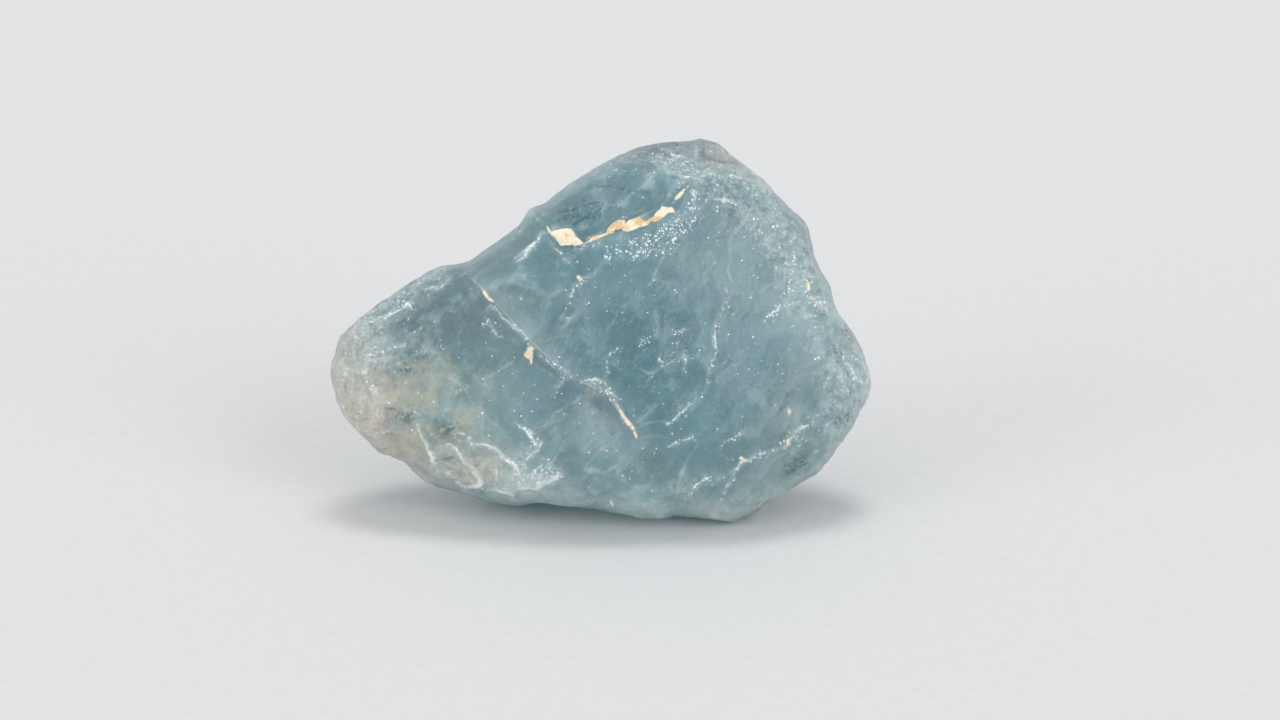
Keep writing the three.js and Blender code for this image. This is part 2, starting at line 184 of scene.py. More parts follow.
# fmt: off
CRACKS = [  # white healed cracks and chipped lines
    # the tapered end
    [(-18.2, 5.6, 0.06), (-17.4, 5.8, 0.16), (-16.7, 6.0, 0.1)],
    [(-23.6, 2.4, 0.12), (-22.2, 2.8, 0.14), (-21.1, 3.3, 0.1), (-20.1, 4.1, 0.16), (-19.4, 3.5, 0.08)],
    [(-22.0, -0.4, 0.03), (-21.2, -0.2, 0.06), (-20.4, 0.0, 0.03)],
    # along the crease
    [(-12.0, 2.4, 0.06), (-11.6, 1.7, 0.08), (-11.2, 1.0, 0.05), (-10.7, 0.8, 0.05)],
    [(-11.6, 3.9, 0.06), (-10.6, 2.7, 0.1), (-9.6, 1.8, 0.1), (-8.7, 1.3, 0.08), (-8.1, 0.3, 0.09),
     (-7.6, -0.3, 0.06)],
    [(-7.0, -1.0, 0.03), (-5.8, -1.9, 0.07), (-4.9, -2.8, 0.05), (-4.6, -3.4, 0.07), (-5.0, -4.2, 0.05),
     (-5.6, -4.8, 0.03)],
    [(-7.3, -0.6, 0.03), (-6.0, -1.5, 0.04), (-4.8, -2.4, 0.04), (-3.7, -3.2, 0.03)],
    [(-2.6, -3.6, 0.05), (-1.6, -3.5, 0.12), (-0.8, -3.6, 0.11), (-0.4, -4.1, 0.08), (-0.2, -4.8, 0.14),
     (0.4, -5.1, 0.11)],
    # in the deep blue
    [(-0.6, -3.3, 0.04), (-0.2, -2.6, 0.07), (-0.4, -2.0, 0.05), (-0.1, -1.2, 0.06), (0.4, -0.7, 0.08),
     (1.1, -0.4, 0.05)],
    [(4.9, -1.6, 0.04), (5.3, -2.3, 0.08), (5.9, -1.7, 0.05), (6.4, -1.5, 0.04)],
    [(7.2, -0.9, 0.04), (7.3, -1.6, 0.07), (7.1, -2.4, 0.04)],
    [(6.2, 1.0, 0.03), (6.8, 1.3, 0.06), (7.4, 1.4, 0.03)],
    # the long crack, and the lower right
    [(11.3, 5.6, 0.03), (11.3, 4.1, 0.05), (10.8, 2.8, 0.06), (10.2, 1.7, 0.08), (10.1, 0.6, 0.09),
     (10.3, -0.5, 0.06), (10.0, -1.5, 0.07), (9.6, -3.1, 0.03), (9.3, -4.2, 0.04), (8.8, -5.2, 0.05),
     (8.0, -5.8, 0.08), (7.2, -6.3, 0.1), (6.5, -7.0, 0.1), (5.6, -7.9, 0.07)],
    [(5.7, -10.0, 0.04), (6.7, -9.6, 0.08), (7.6, -9.1, 0.07), (8.6, -8.9, 0.03)],
    [(10.7, -10.0, 0.03), (11.4, -9.2, 0.05), (12.4, -9.1, 0.1), (13.0, -8.4, 0.07)],
    [(7.6, -14.8, 0.04), (8.4, -13.8, 0.11), (9.7, -13.1, 0.07)],
    [(10.9, -15.4, 0.03), (11.4, -14.4, 0.1), (11.8, -13.4, 0.11), (12.2, -12.4, 0.08),
     (12.9, -11.5, 0.14), (13.6, -11.3, 0.1), (14.9, -10.7, 0.08), (16.2, -10.4, 0.07),
     (17.3, -10.1, 0.15), (17.6, -9.3, 0.16), (18.1, -8.6, 0.08), (18.9, -8.2, 0.1), (19.8, -7.8, 0.07)],
    # the blunt end
    [(15.1, 2.4, 0.05), (15.6, 2.8, 0.11), (16.4, 3.5, 0.09), (17.2, 3.8, 0.07), (18.5, 4.2, 0.05)],
    [(19.6, 4.3, 0.07), (20.2, 4.2, 0.1), (20.9, 3.8, 0.08), (21.2, 3.2, 0.04)],
    # round the seam, and the top
    [(-9.3, 8.4, 0.06), (-8.4, 9.0, 0.2), (-7.6, 9.6, 0.17), (-6.9, 10.5, 0.08)],
    [(-9.0, 8.1, 0.04), (-8.1, 8.7, 0.1), (-7.4, 9.3, 0.06)],
    [(-5.7, 9.7, 0.03), (-5.3, 9.2, 0.05), (-4.7, 8.7, 0.05), (-4.2, 8.3, 0.08)],
    [(-3.3, 9.4, 0.03), (-2.2, 9.5, 0.05), (-1.2, 9.8, 0.03)],
    [(-2.2, 6.7, 0.03), (-3.1, 5.8, 0.08), (-3.8, 4.5, 0.08), (-4.2, 4.0, 0.03)],
    [(-3.3, 3.3, 0.03), (-4.2, 2.4, 0.07), (-4.7, 1.5, 0.03)],
    [(5.4, 17.8, 0.03), (6.9, 17.1, 0.06), (9.1, 16.6, 0.05), (11.5, 16.6, 0.07), (13.7, 16.1, 0.04)],
    [(5.1, 19.5, 0.05), (6.3, 18.7, 0.1), (7.3, 18.4, 0.05)],
    [(8.2, 15.1, 0.1), (8.4, 14.4, 0.24), (8.3, 13.9, 0.1)],
    [(10.5, 14.0, 0.1), (11.2, 14.1, 0.22), (11.9, 13.9, 0.1)],
    # the net at the lower left
    [(-19.5, -7.3, 0.05), (-19.1, -7.8, 0.09), (-18.6, -8.8, 0.1), (-18.1, -9.8, 0.16),
     (-17.7, -11.0, 0.17), (-17.4, -11.7, 0.1), (-17.1, -12.6, 0.05)],
    [(-16.3, -12.7, 0.1), (-16.1, -12.8, 0.2)],
    [(-16.0, -10.0, 0.14), (-15.4, -10.1, 0.1), (-14.9, -10.9, 0.14), (-14.4, -11.7, 0.17),
     (-13.6, -12.4, 0.24), (-13.2, -13.0, 0.26), (-12.9, -13.9, 0.2)],
    [(-12.9, -13.9, 0.18), (-13.6, -14.2, 0.16), (-14.4, -14.3, 0.13), (-14.9, -13.8, 0.1),
     (-15.4, -13.3, 0.08)],
    [(-15.2, -8.7, 0.07), (-14.5, -8.9, 0.12), (-14.0, -9.0, 0.1), (-13.7, -9.5, 0.08),
     (-13.8, -10.1, 0.07), (-14.1, -10.6, 0.05)],
    [(-13.3, -9.8, 0.08), (-12.3, -9.8, 0.1), (-11.5, -10.2, 0.16), (-10.9, -10.6, 0.15),
     (-10.5, -11.2, 0.1), (-9.7, -11.6, 0.14), (-9.3, -12.0, 0.15), (-9.1, -12.8, 0.11),
     (-8.9, -13.6, 0.1)],
    [(-9.2, -7.7, 0.04), (-8.5, -8.2, 0.1), (-8.0, -8.7, 0.12), (-7.6, -9.3, 0.09), (-7.1, -10.0, 0.07)],
    [(-8.4, -8.2, 0.06), (-7.7, -8.4, 0.08)],
    [(-6.6, -9.5, 0.06), (-7.2, -10.4, 0.07), (-7.8, -11.1, 0.1), (-8.3, -11.6, 0.06), (-8.6, -12.1, 0.04)],
    [(-7.7, -9.8, 0.04), (-8.0, -10.7, 0.06)],
    [(-12.1, -14.6, 0.08), (-11.5, -14.6, 0.18), (-10.5, -14.9, 0.16), (-9.5, -14.7, 0.18),
     (-8.9, -14.4, 0.14), (-8.2, -14.2, 0.14), (-7.7, -14.4, 0.18), (-7.0, -14.1, 0.2),
     (-6.6, -13.6, 0.18), (-5.8, -13.4, 0.16), (-5.0, -12.9, 0.13), (-5.2, -12.1, 0.07)],
    [(-10.7, -14.3, 0.08), (-10.0, -13.5, 0.1), (-9.4, -12.9, 0.11), (-8.8, -12.8, 0.06)],
    [(-8.5, -13.5, 0.08), (-8.1, -12.9, 0.13), (-7.6, -12.7, 0.11), (-7.1, -12.1, 0.08),
     (-6.4, -11.4, 0.05)],
    [(-7.4, -13.8, 0.08), (-6.7, -13.0, 0.11), (-6.0, -12.3, 0.08), (-5.7, -11.5, 0.05)],
    [(-11.5, -11.7, 0.07), (-11.2, -12.4, 0.1), (-11.3, -13.2, 0.07), (-11.0, -14.0, 0.05)],
]

VEILS = [  # fainter lines that lie under the surface
    # the net at the lower left
    [(-19.2, -7.7, 0.1), (-18.2, -9.6, 0.18), (-17.6, -11.3, 0.16), (-17.0, -12.8, 0.1)],
    [(-15.4, -10.1, 0.1), (-14.6, -11.3, 0.18), (-13.7, -12.3, 0.26), (-13.1, -13.1, 0.28),
     (-12.9, -13.9, 0.22), (-13.7, -14.1, 0.26), (-14.5, -14.2, 0.16)],
    [(-12.6, -9.7, 0.12), (-11.4, -10.2, 0.22), (-10.7, -10.9, 0.18), (-9.7, -11.6, 0.18),
     (-9.2, -12.3, 0.16), (-8.9, -13.6, 0.14)],
    [(-12.0, -14.5, 0.14), (-10.9, -14.5, 0.3), (-9.6, -14.2, 0.5), (-8.6, -13.9, 0.4),
     (-7.6, -14.2, 0.34), (-6.7, -13.7, 0.34), (-5.2, -12.9, 0.2)],
    [(-9.0, -7.8, 0.1), (-8.0, -8.7, 0.2), (-7.3, -9.8, 0.14)],
    [(-6.7, -9.6, 0.1), (-7.8, -11.1, 0.2), (-8.5, -12.1, 0.12)],
    [(-15.6, -10.5, 0.06), (-15.4, -11.1, 0.1), (-15.6, -11.7, 0.06)],
    # below the crease
    [(-12.1, -3.3, 0.1), (-11.1, -2.8, 0.12), (-10.2, -2.3, 0.1), (-9.3, -1.7, 0.06)],
    [(-6.4, -7.9, 0.08), (-5.4, -6.9, 0.14), (-4.0, -5.9, 0.12), (-3.1, -5.3, 0.16)],
    [(-6.9, -8.1, 0.06), (-5.6, -7.7, 0.1), (-4.4, -7.1, 0.1), (-3.3, -6.7, 0.06)],
    [(-3.1, -10.4, 0.06), (-1.8, -9.4, 0.14), (-1.0, -9.0, 0.08)],
    [(-2.3, -11.7, 0.06), (-1.6, -10.7, 0.12), (-0.2, -9.8, 0.12), (0.9, -8.8, 0.06)],
    [(-2.6, -12.9, 0.1), (-1.8, -12.3, 0.16), (-0.8, -12.6, 0.1), (0.4, -11.9, 0.16)],
    # in the deep blue
    [(2.6, -8.1, 0.06), (3.8, -7.7, 0.12), (5.1, -7.6, 0.12), (5.6, -7.9, 0.08)],
    [(2.6, -9.1, 0.06), (4.4, -9.0, 0.12), (5.3, -9.2, 0.06)],
    [(3.3, -2.6, 0.08), (3.9, -3.0, 0.14), (4.8, -2.4, 0.08)],
    [(7.0, -1.4, 0.06), (7.2, -2.6, 0.12)],
    [(8.6, -4.0, 0.06), (8.3, -5.0, 0.12), (8.2, -5.7, 0.06)],
    # the upper right and the middle
    [(13.7, 13.4, 0.06), (13.0, 11.7, 0.14), (11.9, 10.8, 0.12), (11.5, 9.5, 0.1), (11.7, 8.5, 0.1),
     (11.4, 7.1, 0.12), (11.9, 6.3, 0.06)],
    [(3.7, 5.6, 0.06), (4.5, 7.1, 0.12), (5.2, 8.4, 0.06)],
    [(-0.4, 0.9, 0.08), (0.2, 2.1, 0.14)],
    # the foot
    [(6.6, -14.4, 0.1), (7.0, -12.6, 0.16), (7.6, -11.2, 0.12), (8.4, -9.9, 0.06)],
    # towards the two ends
    [(14.9, 5.4, 0.08), (16.2, 6.3, 0.1)],
    [(-21.5, -8.4, 0.06), (-20.4, -9.8, 0.14), (-19.0, -11.4, 0.08)],
    [(-24.0, -1.9, 0.03), (-22.0, -1.3, 0.07), (-20.2, -0.9, 0.03)],
    [(-22.6, -2.4, 0.03), (-20.6, -1.8, 0.07), (-18.6, -0.9, 0.04)],
    [(-12.6, -6.4, 0.06), (-11.6, -7.6, 0.12), (-10.6, -8.6, 0.08)],
    [(-15.9, -3.1, 0.08), (-14.6, -3.9, 0.14), (-13.9, -4.9, 0.06)],
]

LIMONITE_CRUSTS = [  # outlines (u, v) of the cream iron crusts in the seam and the crease
    [(-5.8, 11.1), (-5.1, 11.2), (-3.9, 11.3), (-3.5, 11.0), (-3.4, 10.5), (-2.8, 10.0), (-2.9, 9.7),
     (-4.4, 9.6), (-4.9, 9.7), (-5.1, 10.0), (-5.7, 10.7)],
    [(-0.4, 11.0), (-0.1, 11.5), (0.6, 12.0), (1.4, 12.1), (1.4, 11.4), (0.2, 11.1)],
    [(1.1, 11.0), (1.3, 11.5), (1.8, 12.1), (2.8, 12.4), (3.3, 12.0), (3.8, 12.0), (3.7, 11.6),
     (2.9, 11.3), (1.7, 10.9)],
    [(4.0, 12.0), (4.5, 13.0), (5.0, 13.4), (6.0, 13.4), (6.3, 12.8), (5.6, 12.8), (5.0, 12.3),
     (4.3, 11.9)],
    [(-8.4, -1.0), (-8.0, -0.3), (-7.5, -0.3), (-7.5, -1.2), (-7.7, -2.1), (-7.9, -1.6), (-8.2, -1.4)],
    [(-12.6, 5.5), (-12.1, 5.2), (-11.6, 4.4), (-11.2, 3.9), (-12.0, 4.4), (-12.4, 4.9)],
]

LIMONITE = [  # thin lines of the same
    [(-6.3, 11.7, 0.06), (-5.9, 11.0, 0.14), (-5.5, 10.6, 0.2)],
    [(-2.9, 9.8, 0.16), (-2.2, 9.9, 0.11), (-1.2, 10.4, 0.14), (-0.4, 10.8, 0.12), (0.2, 11.1, 0.2)],
    [(3.6, 11.8, 0.16), (4.2, 12.3, 0.12)],
    [(6.0, 13.8, 0.05), (6.7, 14.5, 0.16), (7.3, 15.1, 0.12), (7.8, 15.7, 0.03)],
    [(0.4, -5.5, 0.08), (1.3, -7.1, 0.17), (2.1, -8.1, 0.17), (2.6, -9.1, 0.08)],
    [(-3.1, 6.5, 0.16), (-2.8, 6.2, 0.1)],
    [(17.9, 8.9, 0.1), (18.2, 8.2, 0.17), (18.4, 7.6, 0.1)],
    [(18.8, 6.7, 0.06), (19.2, 6.1, 0.1), (19.4, 5.4, 0.14)],
    [(19.6, 4.6, 0.04), (20.4, 4.4, 0.08), (20.8, 3.9, 0.05)],
    [(0.1, -15.6, 0.22), (0.2, -15.8, 0.14)],
    [(17.4, -9.6, 0.24), (17.5, -9.3, 0.16)],
    [(17.5, -6.5, 0.2), (17.5, -6.8, 0.14)],
    [(12.8, -11.1, 0.2), (13.1, -11.3, 0.14)],
]

BEADED = [  # where tiny beads of frost gather, and fewer of them below 0
    [(0.2, 8.6, 0.3), (1.7, 9.1, 0.6), (3.5, 9.4, 0.8), (4.8, 9.9, 0.9), (6.0, 10.8, 0.8),
     (7.4, 12.0, 0.6), (8.3, 13.4, 0.3)],
    [(-1.8, -3.8, 0.0), (-0.9, -4.0, 0.1), (0.3, -5.1, 0.1)],
    [(2.9, 0.2, 0.02), (3.4, 0.7, 0.02)],
    [(5.9, -1.1, -0.25), (6.6, -0.8, -0.25)],
    [(6.5, 1.1, 0.0), (7.0, 1.4, 0.0)],
    [(17.0, -9.9, 0.1), (18.4, -8.6, 0.3)],
    [(-7.4, -14.0, 0.1), (-6.2, -11.6, 0.2), (-5.2, -12.6, 0.3)],
    [(19.4, 4.6, 0.0), (20.4, 4.2, 0.0), (21.2, 3.4, 0.0)],
    [(5.2, 9.1, 0.3), (6.0, 9.8, 0.3)],
    [(-12.0, 2.2, 0.02), (-11.2, 1.1, 0.02)],
    [(22.8, -1.0, -0.2), (23.9, -3.4, 0.1), (23.4, -5.6, -0.2)],
    [(-25.6, 1.2, -0.3), (-23.8, 2.4, 0.0), (-22.6, 3.2, -0.3)],
]

FROSTED_BANDS = [  # worn, frosted edges
    [(4.5, 18.0, 0.2), (7.5, 17.2, 0.8), (11.0, 15.6, 1.5), (14.0, 13.6, 1.5), (16.6, 10.8, 1.4),
     (18.4, 7.6, 1.4), (19.8, 4.6, 1.6), (21.8, 1.4, 1.8), (24.0, -2.6, 2.4), (22.8, -7.0, 1.6)],
    [(-12.4, -14.2, 0.3), (-9.5, -14.6, 0.3), (-7.4, -13.8, 0.3), (-5.2, -12.5, 0.1)],
    [(-26.0, 0.0, 0.8), (-23.0, 3.0, 1.0), (-20.0, 4.6, 0.8), (-17.0, 6.6, 0.5)],
    [(-17.0, -11.6, 0.2), (-13.6, -12.8, 0.6), (-11.0, -12.6, 0.6), (-8.4, -11.0, 0.3)],
]

SCRATCHES = [  # dark scratched lines
    [(-2.2, 15.4, 0.05), (-1.0, 15.6, 0.12), (0.4, 15.5, 0.1), (2.1, 15.1, 0.09), (3.7, 14.9, 0.05)],
    [(-5.6, 12.0, 0.08), (-4.6, 12.3, 0.16), (-3.4, 12.5, 0.14), (-2.0, 12.7, 0.16), (-0.9, 12.9, 0.08)],
    [(-4.8, 13.1, 0.06), (-3.8, 13.4, 0.13), (-2.6, 13.5, 0.1), (-1.2, 13.9, 0.05)],
    [(-5.0, 12.7, 0.05), (-4.1, 12.9, 0.12), (-3.1, 13.0, 0.08)],
    [(-1.2, 12.6, 0.06), (-0.2, 13.4, 0.12), (0.5, 14.0, 0.08)],
    [(5.8, 19.9, 0.05), (8.2, 19.2, 0.1), (10.0, 18.2, 0.1), (12.0, 17.8, 0.05)],
    [(15.1, -4.7, 0.12), (15.8, -4.2, 0.22)],
    [(16.5, -5.5, 0.12), (17.2, -5.1, 0.24), (17.7, -4.8, 0.12)],
    [(16.3, -6.9, 0.12), (17.1, -6.1, 0.22)],
    [(17.4, -12.1, 0.08), (18.3, -11.4, 0.16), (19.1, -11.0, 0.08)],
    [(17.3, -12.9, 0.07), (18.2, -12.4, 0.15), (19.2, -11.8, 0.08)],
    [(17.9, -10.9, 0.06), (18.7, -10.6, 0.12)],
    [(-22.0, -6.1, 0.05), (-21.1, -6.3, 0.14), (-20.2, -6.9, 0.08)],
    [(-21.0, -7.2, 0.05), (-20.1, -7.6, 0.12), (-19.4, -7.3, 0.06)],
    [(-16.9, -7.7, 0.05), (-16.1, -8.2, 0.12), (-15.4, -8.9, 0.14), (-15.0, -9.5, 0.06)],
    [(-17.2, -9.6, 0.05), (-16.6, -9.2, 0.12), (-15.9, -9.3, 0.06)],
    [(22.6, -7.6, 0.05), (23.4, -7.0, 0.09)],
    [(23.6, 0.4, 0.03), (23.9, 1.2, 0.07), (24.4, 1.6, 0.03)],
]

# Soft zones: centre (u, v, w), reach along each, strength.
ZONES = {
    "heart": [  # deeper blue, where the stone is thick
        ((3.0, -1.0, 6.0), (11.0, 9.0, 12.0), 0.9), ((4.6, -7.4, 8.0), (2.2, 2.8, 5.0), 0.65),
        ((-1.0, 9.0, 8.0), (9.0, 6.0, 9.0), 0.48), ((9.5, -6.5, 5.0), (7.0, 5.5, 9.0), 0.6),
        ((13.0, -1.5, 6.0), (6.0, 6.0, 7.0), 1.0), ((7.0, 11.5, 8.0), (5.0, 4.0, 6.0), 0.75),
        ((1.0, 17.5, 5.0), (3.5, 2.0, 6.0), 0.6), ((-4.0, 14.0, 6.0), (5.0, 3.0, 8.0), 0.3),
        ((4.0, 2.0, -8.0), (13.0, 9.0, 8.0), 0.8),
    ],
    "slate": [  # greyer
        ((-14.5, 2.5, 8.0), (6.0, 5.0, 7.0), 0.62), ((-10.0, -1.6, 9.0), (4.2, 3.2, 5.0), 0.4),
        ((-18.6, 1.4, 7.0), (3.6, 3.0, 6.0), 0.95), ((5.8, 19.4, 3.0), (5.0, 2.4, 6.0), 1.0),
        ((-6.5, -5.5, 9.0), (3.0, 2.5, 5.0), 0.5), ((-12.0, 4.0, -9.0), (8.0, 6.0, 6.0), 0.7),
    ],
    "honey": [  # stained yellow
        ((-19.5, -4.5, 7.0), (4.2, 3.2, 6.0), 0.95), ((-16.0, -3.2, 8.0), (4.2, 2.6, 5.0), 0.7),
        ((-17.4, -9.8, 6.0), (4.2, 3.6, 6.0), 0.62), ((-14.6, -12.6, 5.0), (2.4, 1.5, 6.0), 0.9),
        ((-14.0, -7.8, 7.0), (3.2, 2.6, 5.0), 0.6), ((-12.6, -12.0, 6.0), (3.0, 1.8, 5.0), 0.5),
        ((-16.0, -7.0, -8.0), (5.0, 4.0, 6.0), 0.7),
    ],
    "rose": [  # stained pink
        ((-23.8, -7.5, 3.0), (3.0, 3.4, 7.0), 1.0), ((-22.4, -4.2, 6.0), (2.6, 3.4, 4.0), 0.6),
        ((-21.4, -9.6, 4.0), (2.6, 2.0, 5.0), 0.8), ((24.5, 1.0, 2.0), (1.8, 2.0, 6.0), 0.4),
        ((14.0, 17.0, 1.0), (2.0, 1.6, 6.0), 0.35),
    ],
    "pale": [  # paler, where the stone is worn, and a painted glow where it is thin and along its foot
        ((-27.0, -3.0, 0.0), (6.0, 9.0, 12.0), 0.85), ((-17.0, -11.5, 4.0), (8.0, 4.6, 9.0), 1.0),
        ((-9.5, -13.0, 5.0), (5.0, 3.4, 8.0), 0.85), ((-14.4, -7.6, 7.0), (3.8, 3.0, 5.0), 0.75),
        ((-20.5, -5.5, 6.0), (4.5, 3.6, 6.0), 0.6), ((27.0, -3.0, 0.0), (7.0, 10.0, 12.0), 0.72),
        ((12.0, 21.0, 0.0), (6.0, 3.5, 12.0), 0.25), ((-6.0, -15.5, 4.0), (8.0, 3.2, 9.0), 0.8),
        ((6.0, -17.5, 4.0), (9.0, 2.8, 9.0), 0.85), ((16.0, -15.0, 3.0), (7.0, 3.6, 9.0), 0.8),
        ((17.0, -11.5, 4.0), (6.0, 4.5, 6.0), 0.55), ((18.6, 8.0, 3.0), (4.6, 9.0, 9.0), 0.55),
        ((-13.5, 8.5, 4.0), (7.0, 1.6, 9.0), 0.25), ((-1.5, -8.6, 9.0), (4.2, 3.4, 5.0), 0.55),
        ((-6.6, 0.6, 9.0), (2.0, 2.4, 5.0), 0.2), ((-11.0, -4.6, 8.0), (4.4, 2.4, 5.0), 0.5),
        ((1.8, -10.8, 8.0), (2.4, 2.2, 5.0), 0.5), ((-0.8, 4.6, 9.0), (2.6, 2.6, 5.0), 0.25),
        ((17.5, -7.2, 6.0), (2.8, 2.6, 5.0), 0.65), ((-11.0, 4.4, 8.0), (3.4, 2.2, 5.0), 0.45),
        ((1.3, -16.2, 4.0), (5.0, 2.2, 8.0), 0.9), ((9.5, -16.8, 4.0), (7.0, 2.4, 8.0), 0.9),
    ],
    "bone": [  # off-white
        ((-27.5, -4.0, 0.0), (5.5, 7.0, 12.0), 1.0), ((-20.0, -11.5, 3.0), (6.0, 3.0, 9.0), 0.8),
        ((-1.3, -4.7, 9.0), (1.6, 0.9, 5.0), 0.6), ((11.5, 18.5, 3.0), (5.0, 2.2, 6.0), 0.7),
        ((-13.5, -11.8, 5.0), (5.5, 3.4, 7.0), 0.6), ((-22.5, -1.0, 4.0), (3.5, 4.0, 6.0), 0.4),
    ],
    "flecks": [  # dark flecks
        ((-3.0, 13.0, 8.0), (3.4, 1.5, 5.0), 1.3), ((18.3, -12.0, 3.0), (1.3, 0.8, 5.0), 1.3),
        ((16.6, -5.4, 6.0), (1.8, 2.0, 5.0), 0.45), ((-20.2, -6.8, 5.0), (1.5, 1.3, 4.0), 0.85),
        ((-15.6, -8.4, 6.0), (2.4, 1.7, 4.0), 0.7), ((-20.0, -2.0, 6.0), (2.6, 1.6, 4.0), 0.8),
        ((-16.2, -11.4, 5.0), (1.2, 1.0, 4.0), 0.6), ((23.0, -7.6, 2.0), (1.2, 1.2, 4.0), 1.1),
        ((23.6, 1.4, 3.0), (1.0, 0.8, 4.0), 1.0), ((-13.8, 6.6, 6.0), (1.4, 0.8, 4.0), 0.6),
        ((-17.4, 4.4, 6.0), (2.6, 1.6, 4.0), 0.45), ((6.0, 9.0, -10.0), (5.0, 3.0, 4.0), 0.7),
        ((-12.0, -8.0, -9.0), (4.0, 3.0, 4.0), 0.6),
    ],
    "golden": [  # rusty patches of the crust
        ((3.0, 11.8, 9.0), (3.4, 1.8, 5.0), 1.0), ((7.0, 14.6, 9.0), (1.6, 1.6, 5.0), 1.0),
        ((-4.6, 10.3, 9.0), (1.8, 1.2, 5.0), 0.4),
    ],
}
WORN = [  # places worn smooth, where ridges and hollows fade
    ((-16.5, 3.0, 7.0), (4.0, 5.5, 6.0), 1.0), ((-4.5, 6.5, 9.0), (4.0, 2.5, 5.0), 0.7),
]
# fmt: on

THIN_LINES = {  # the strokes, how many more wander over the hidden side, and the seed of those
    "cracks": (CRACKS, 36, 8),
    "veils": (VEILS, 70, 9),
    "scratches": (SCRATCHES, 24, 10),
}
STARTS_SEED = 7
LINE_BEND = (0.16, 1.3, (71, 81, 91))  # reach, size and seeds of what bends every line
WANDER_STEPS, WANDER_TURN = 6, 0.6  # a wandering line's steps, and how far it turns at each, in radians
WANDER_STEP, WANDER_WIDTH = (0.4, 1.2), (0.04, 0.1)  # shortest and longest, thinnest and thickest
LINE_REACH = 0.6  # a line's marks are kept this near it
FRONT_END, FRONT_BACK = 23.0, 1.0  # past this u, and behind this w, the stone counts as hidden
CREASE_FADE = (3.0, 4.0)  # how far its painted light and shade take to fade in along u, and to fade out along v
BEAD_SOFTNESS, BAND_SOFTNESS = 0.7, 1.6
SLATE_BARE, BAND_FROST, PALE_FROST = 0.8, 0.8, 0.6  # the frost that slate loses, and that the others have
PAINTED_RIM_GLOW, RIM_GLOW_FROM, RIM_GLOW_OVER = 0.6, 0.86, 0.12  # painted glow, where thin edges would let light through: paler stone, past this share of the rim

# ---------------------------------------------------------------- numbers and noise

LATTICE_SHIFT = 512.0  # in cells, and a whole number of tables, so that no place falls below 0
MULTIPLIER, ADDEND, STATES = 1664525, 1013904223, 2**32


def smooth(t):
    """0 up to t = 0, 1 from t = 1, and 3t^2 - 2t^3 between them."""
    t = np.clip(t, 0.0, 1.0)
    return t * t * (3.0 - 2.0 * t)


def numbers_from(seed):
    """The same run of numbers every time, from 0 up to 1: each state is the last times the multiplier,
    plus the addend, and a number is its share of all the states."""
    state = seed
    while True:
        state = (state * MULTIPLIER + ADDEND) % STATES
        yield state / STATES


def lattice(points, size):
    """Each point's place in cells of this size, with none below 0, and the low corner of its cell."""
    place = points / size + LATTICE_SHIFT
    return place, np.floor(place).astype(int)


def cloud(points, size, seed):
    """Soft noise from -1 to 1: random values on a cubic lattice of this size, joined by the smooth curve
    along each axis."""
    table = np.random.default_rng(seed).uniform(-1.0, 1.0, (32, 32, 32))
    place, low = lattice(points, size)
    part = smooth(place - low)
    total = np.zeros(len(points))
    for corner in np.ndindex(2, 2, 2):
        share = np.where(np.array(corner) == 1, part, 1.0 - part).prod(axis=1)
        i, j, k = ((low + corner) % 32).T
        total += share * table[i, j, k]
    return total


def clouds(points, size, seed, octaves=3):
    """Soft noise added up over octaves, each half the size and half the strength of the last."""
    return sum(cloud(points, size / 2**i, seed + i) / 2**i for i in range(octaves))


def bent(points, reach, size, seeds):
    """The points moved about, by this reach times three soft noises, one for each axis."""
    return points + reach * np.stack([clouds(points, size, seed, 2) for seed in seeds], axis=1)


def dents(points, size, seed):
    """Shell-shaped dents that meet in ridges: the squared distance, in cells, to the nearest of one random
    point in each cell. It is taken from its middle value, and runs from about -1 to 1."""
    ridge, middle, half_range = 0.62, 0.27, 0.3
    table = np.random.default_rng(seed).random((16, 16, 16, 3))
    place, low = lattice(points, size)
    best = np.full(len(points), np.inf)
    for corner in np.ndindex(3, 3, 3):
        cell = low + corner - 1
        i, j, k = (cell % 16).T
        best = np.minimum(best, ((cell + table[i, j, k] - place) ** 2).sum(axis=1))
    return (np.minimum(best, ridge) - middle) / half_range


# ---------------------------------------------------------------- the stone's surface


def rim_corner(angles):
    """The rim's polygon as a distance along each angle: where that ray crosses one of the sides."""
    start = np.array(RIM)
    end = np.roll(start, -1, axis=0)
    c, s = np.cos(angles)[:, None], np.sin(angles)[:, None]
    before = start[:, 1] * c - start[:, 0] * s
    after = end[:, 1] * c - end[:, 0] * s
    crossed = (before <= 0) & (after > 0)
    t = before / np.where(crossed, before - after, 1.0)
    u = start[:, 0] + t * (end[:, 0] - start[:, 0])
    v = start[:, 1] + t * (end[:, 1] - start[:, 1])
    return np.where(crossed, u * c + v * s, 0.0).max(axis=1)


def rim(points):
    """The rim in each point's direction, its corners worn round: a weighted mean of distances close by."""
    steps = np.arange(RIM_STEPS) * TAU / RIM_STEPS
    total = sum(share * rim_corner(steps + turn * RIM_ROUNDING) for turn, share in RIM_SHARES)
    table = total / sum(share for _, share in RIM_SHARES)
    return np.interp(np.arctan2(points[:, 1], points[:, 0]) % TAU, steps, table, period=TAU)


def soft_min(a, b, softness):
    """The smaller of a and b, less a quarter of h^2 times the softness, where h falls from 1 to 0 as the
    two come to differ by the softness."""
    h = np.maximum(softness - np.abs(a - b), 0.0) / softness
    return np.minimum(a, b) - h * h * softness / 4.0


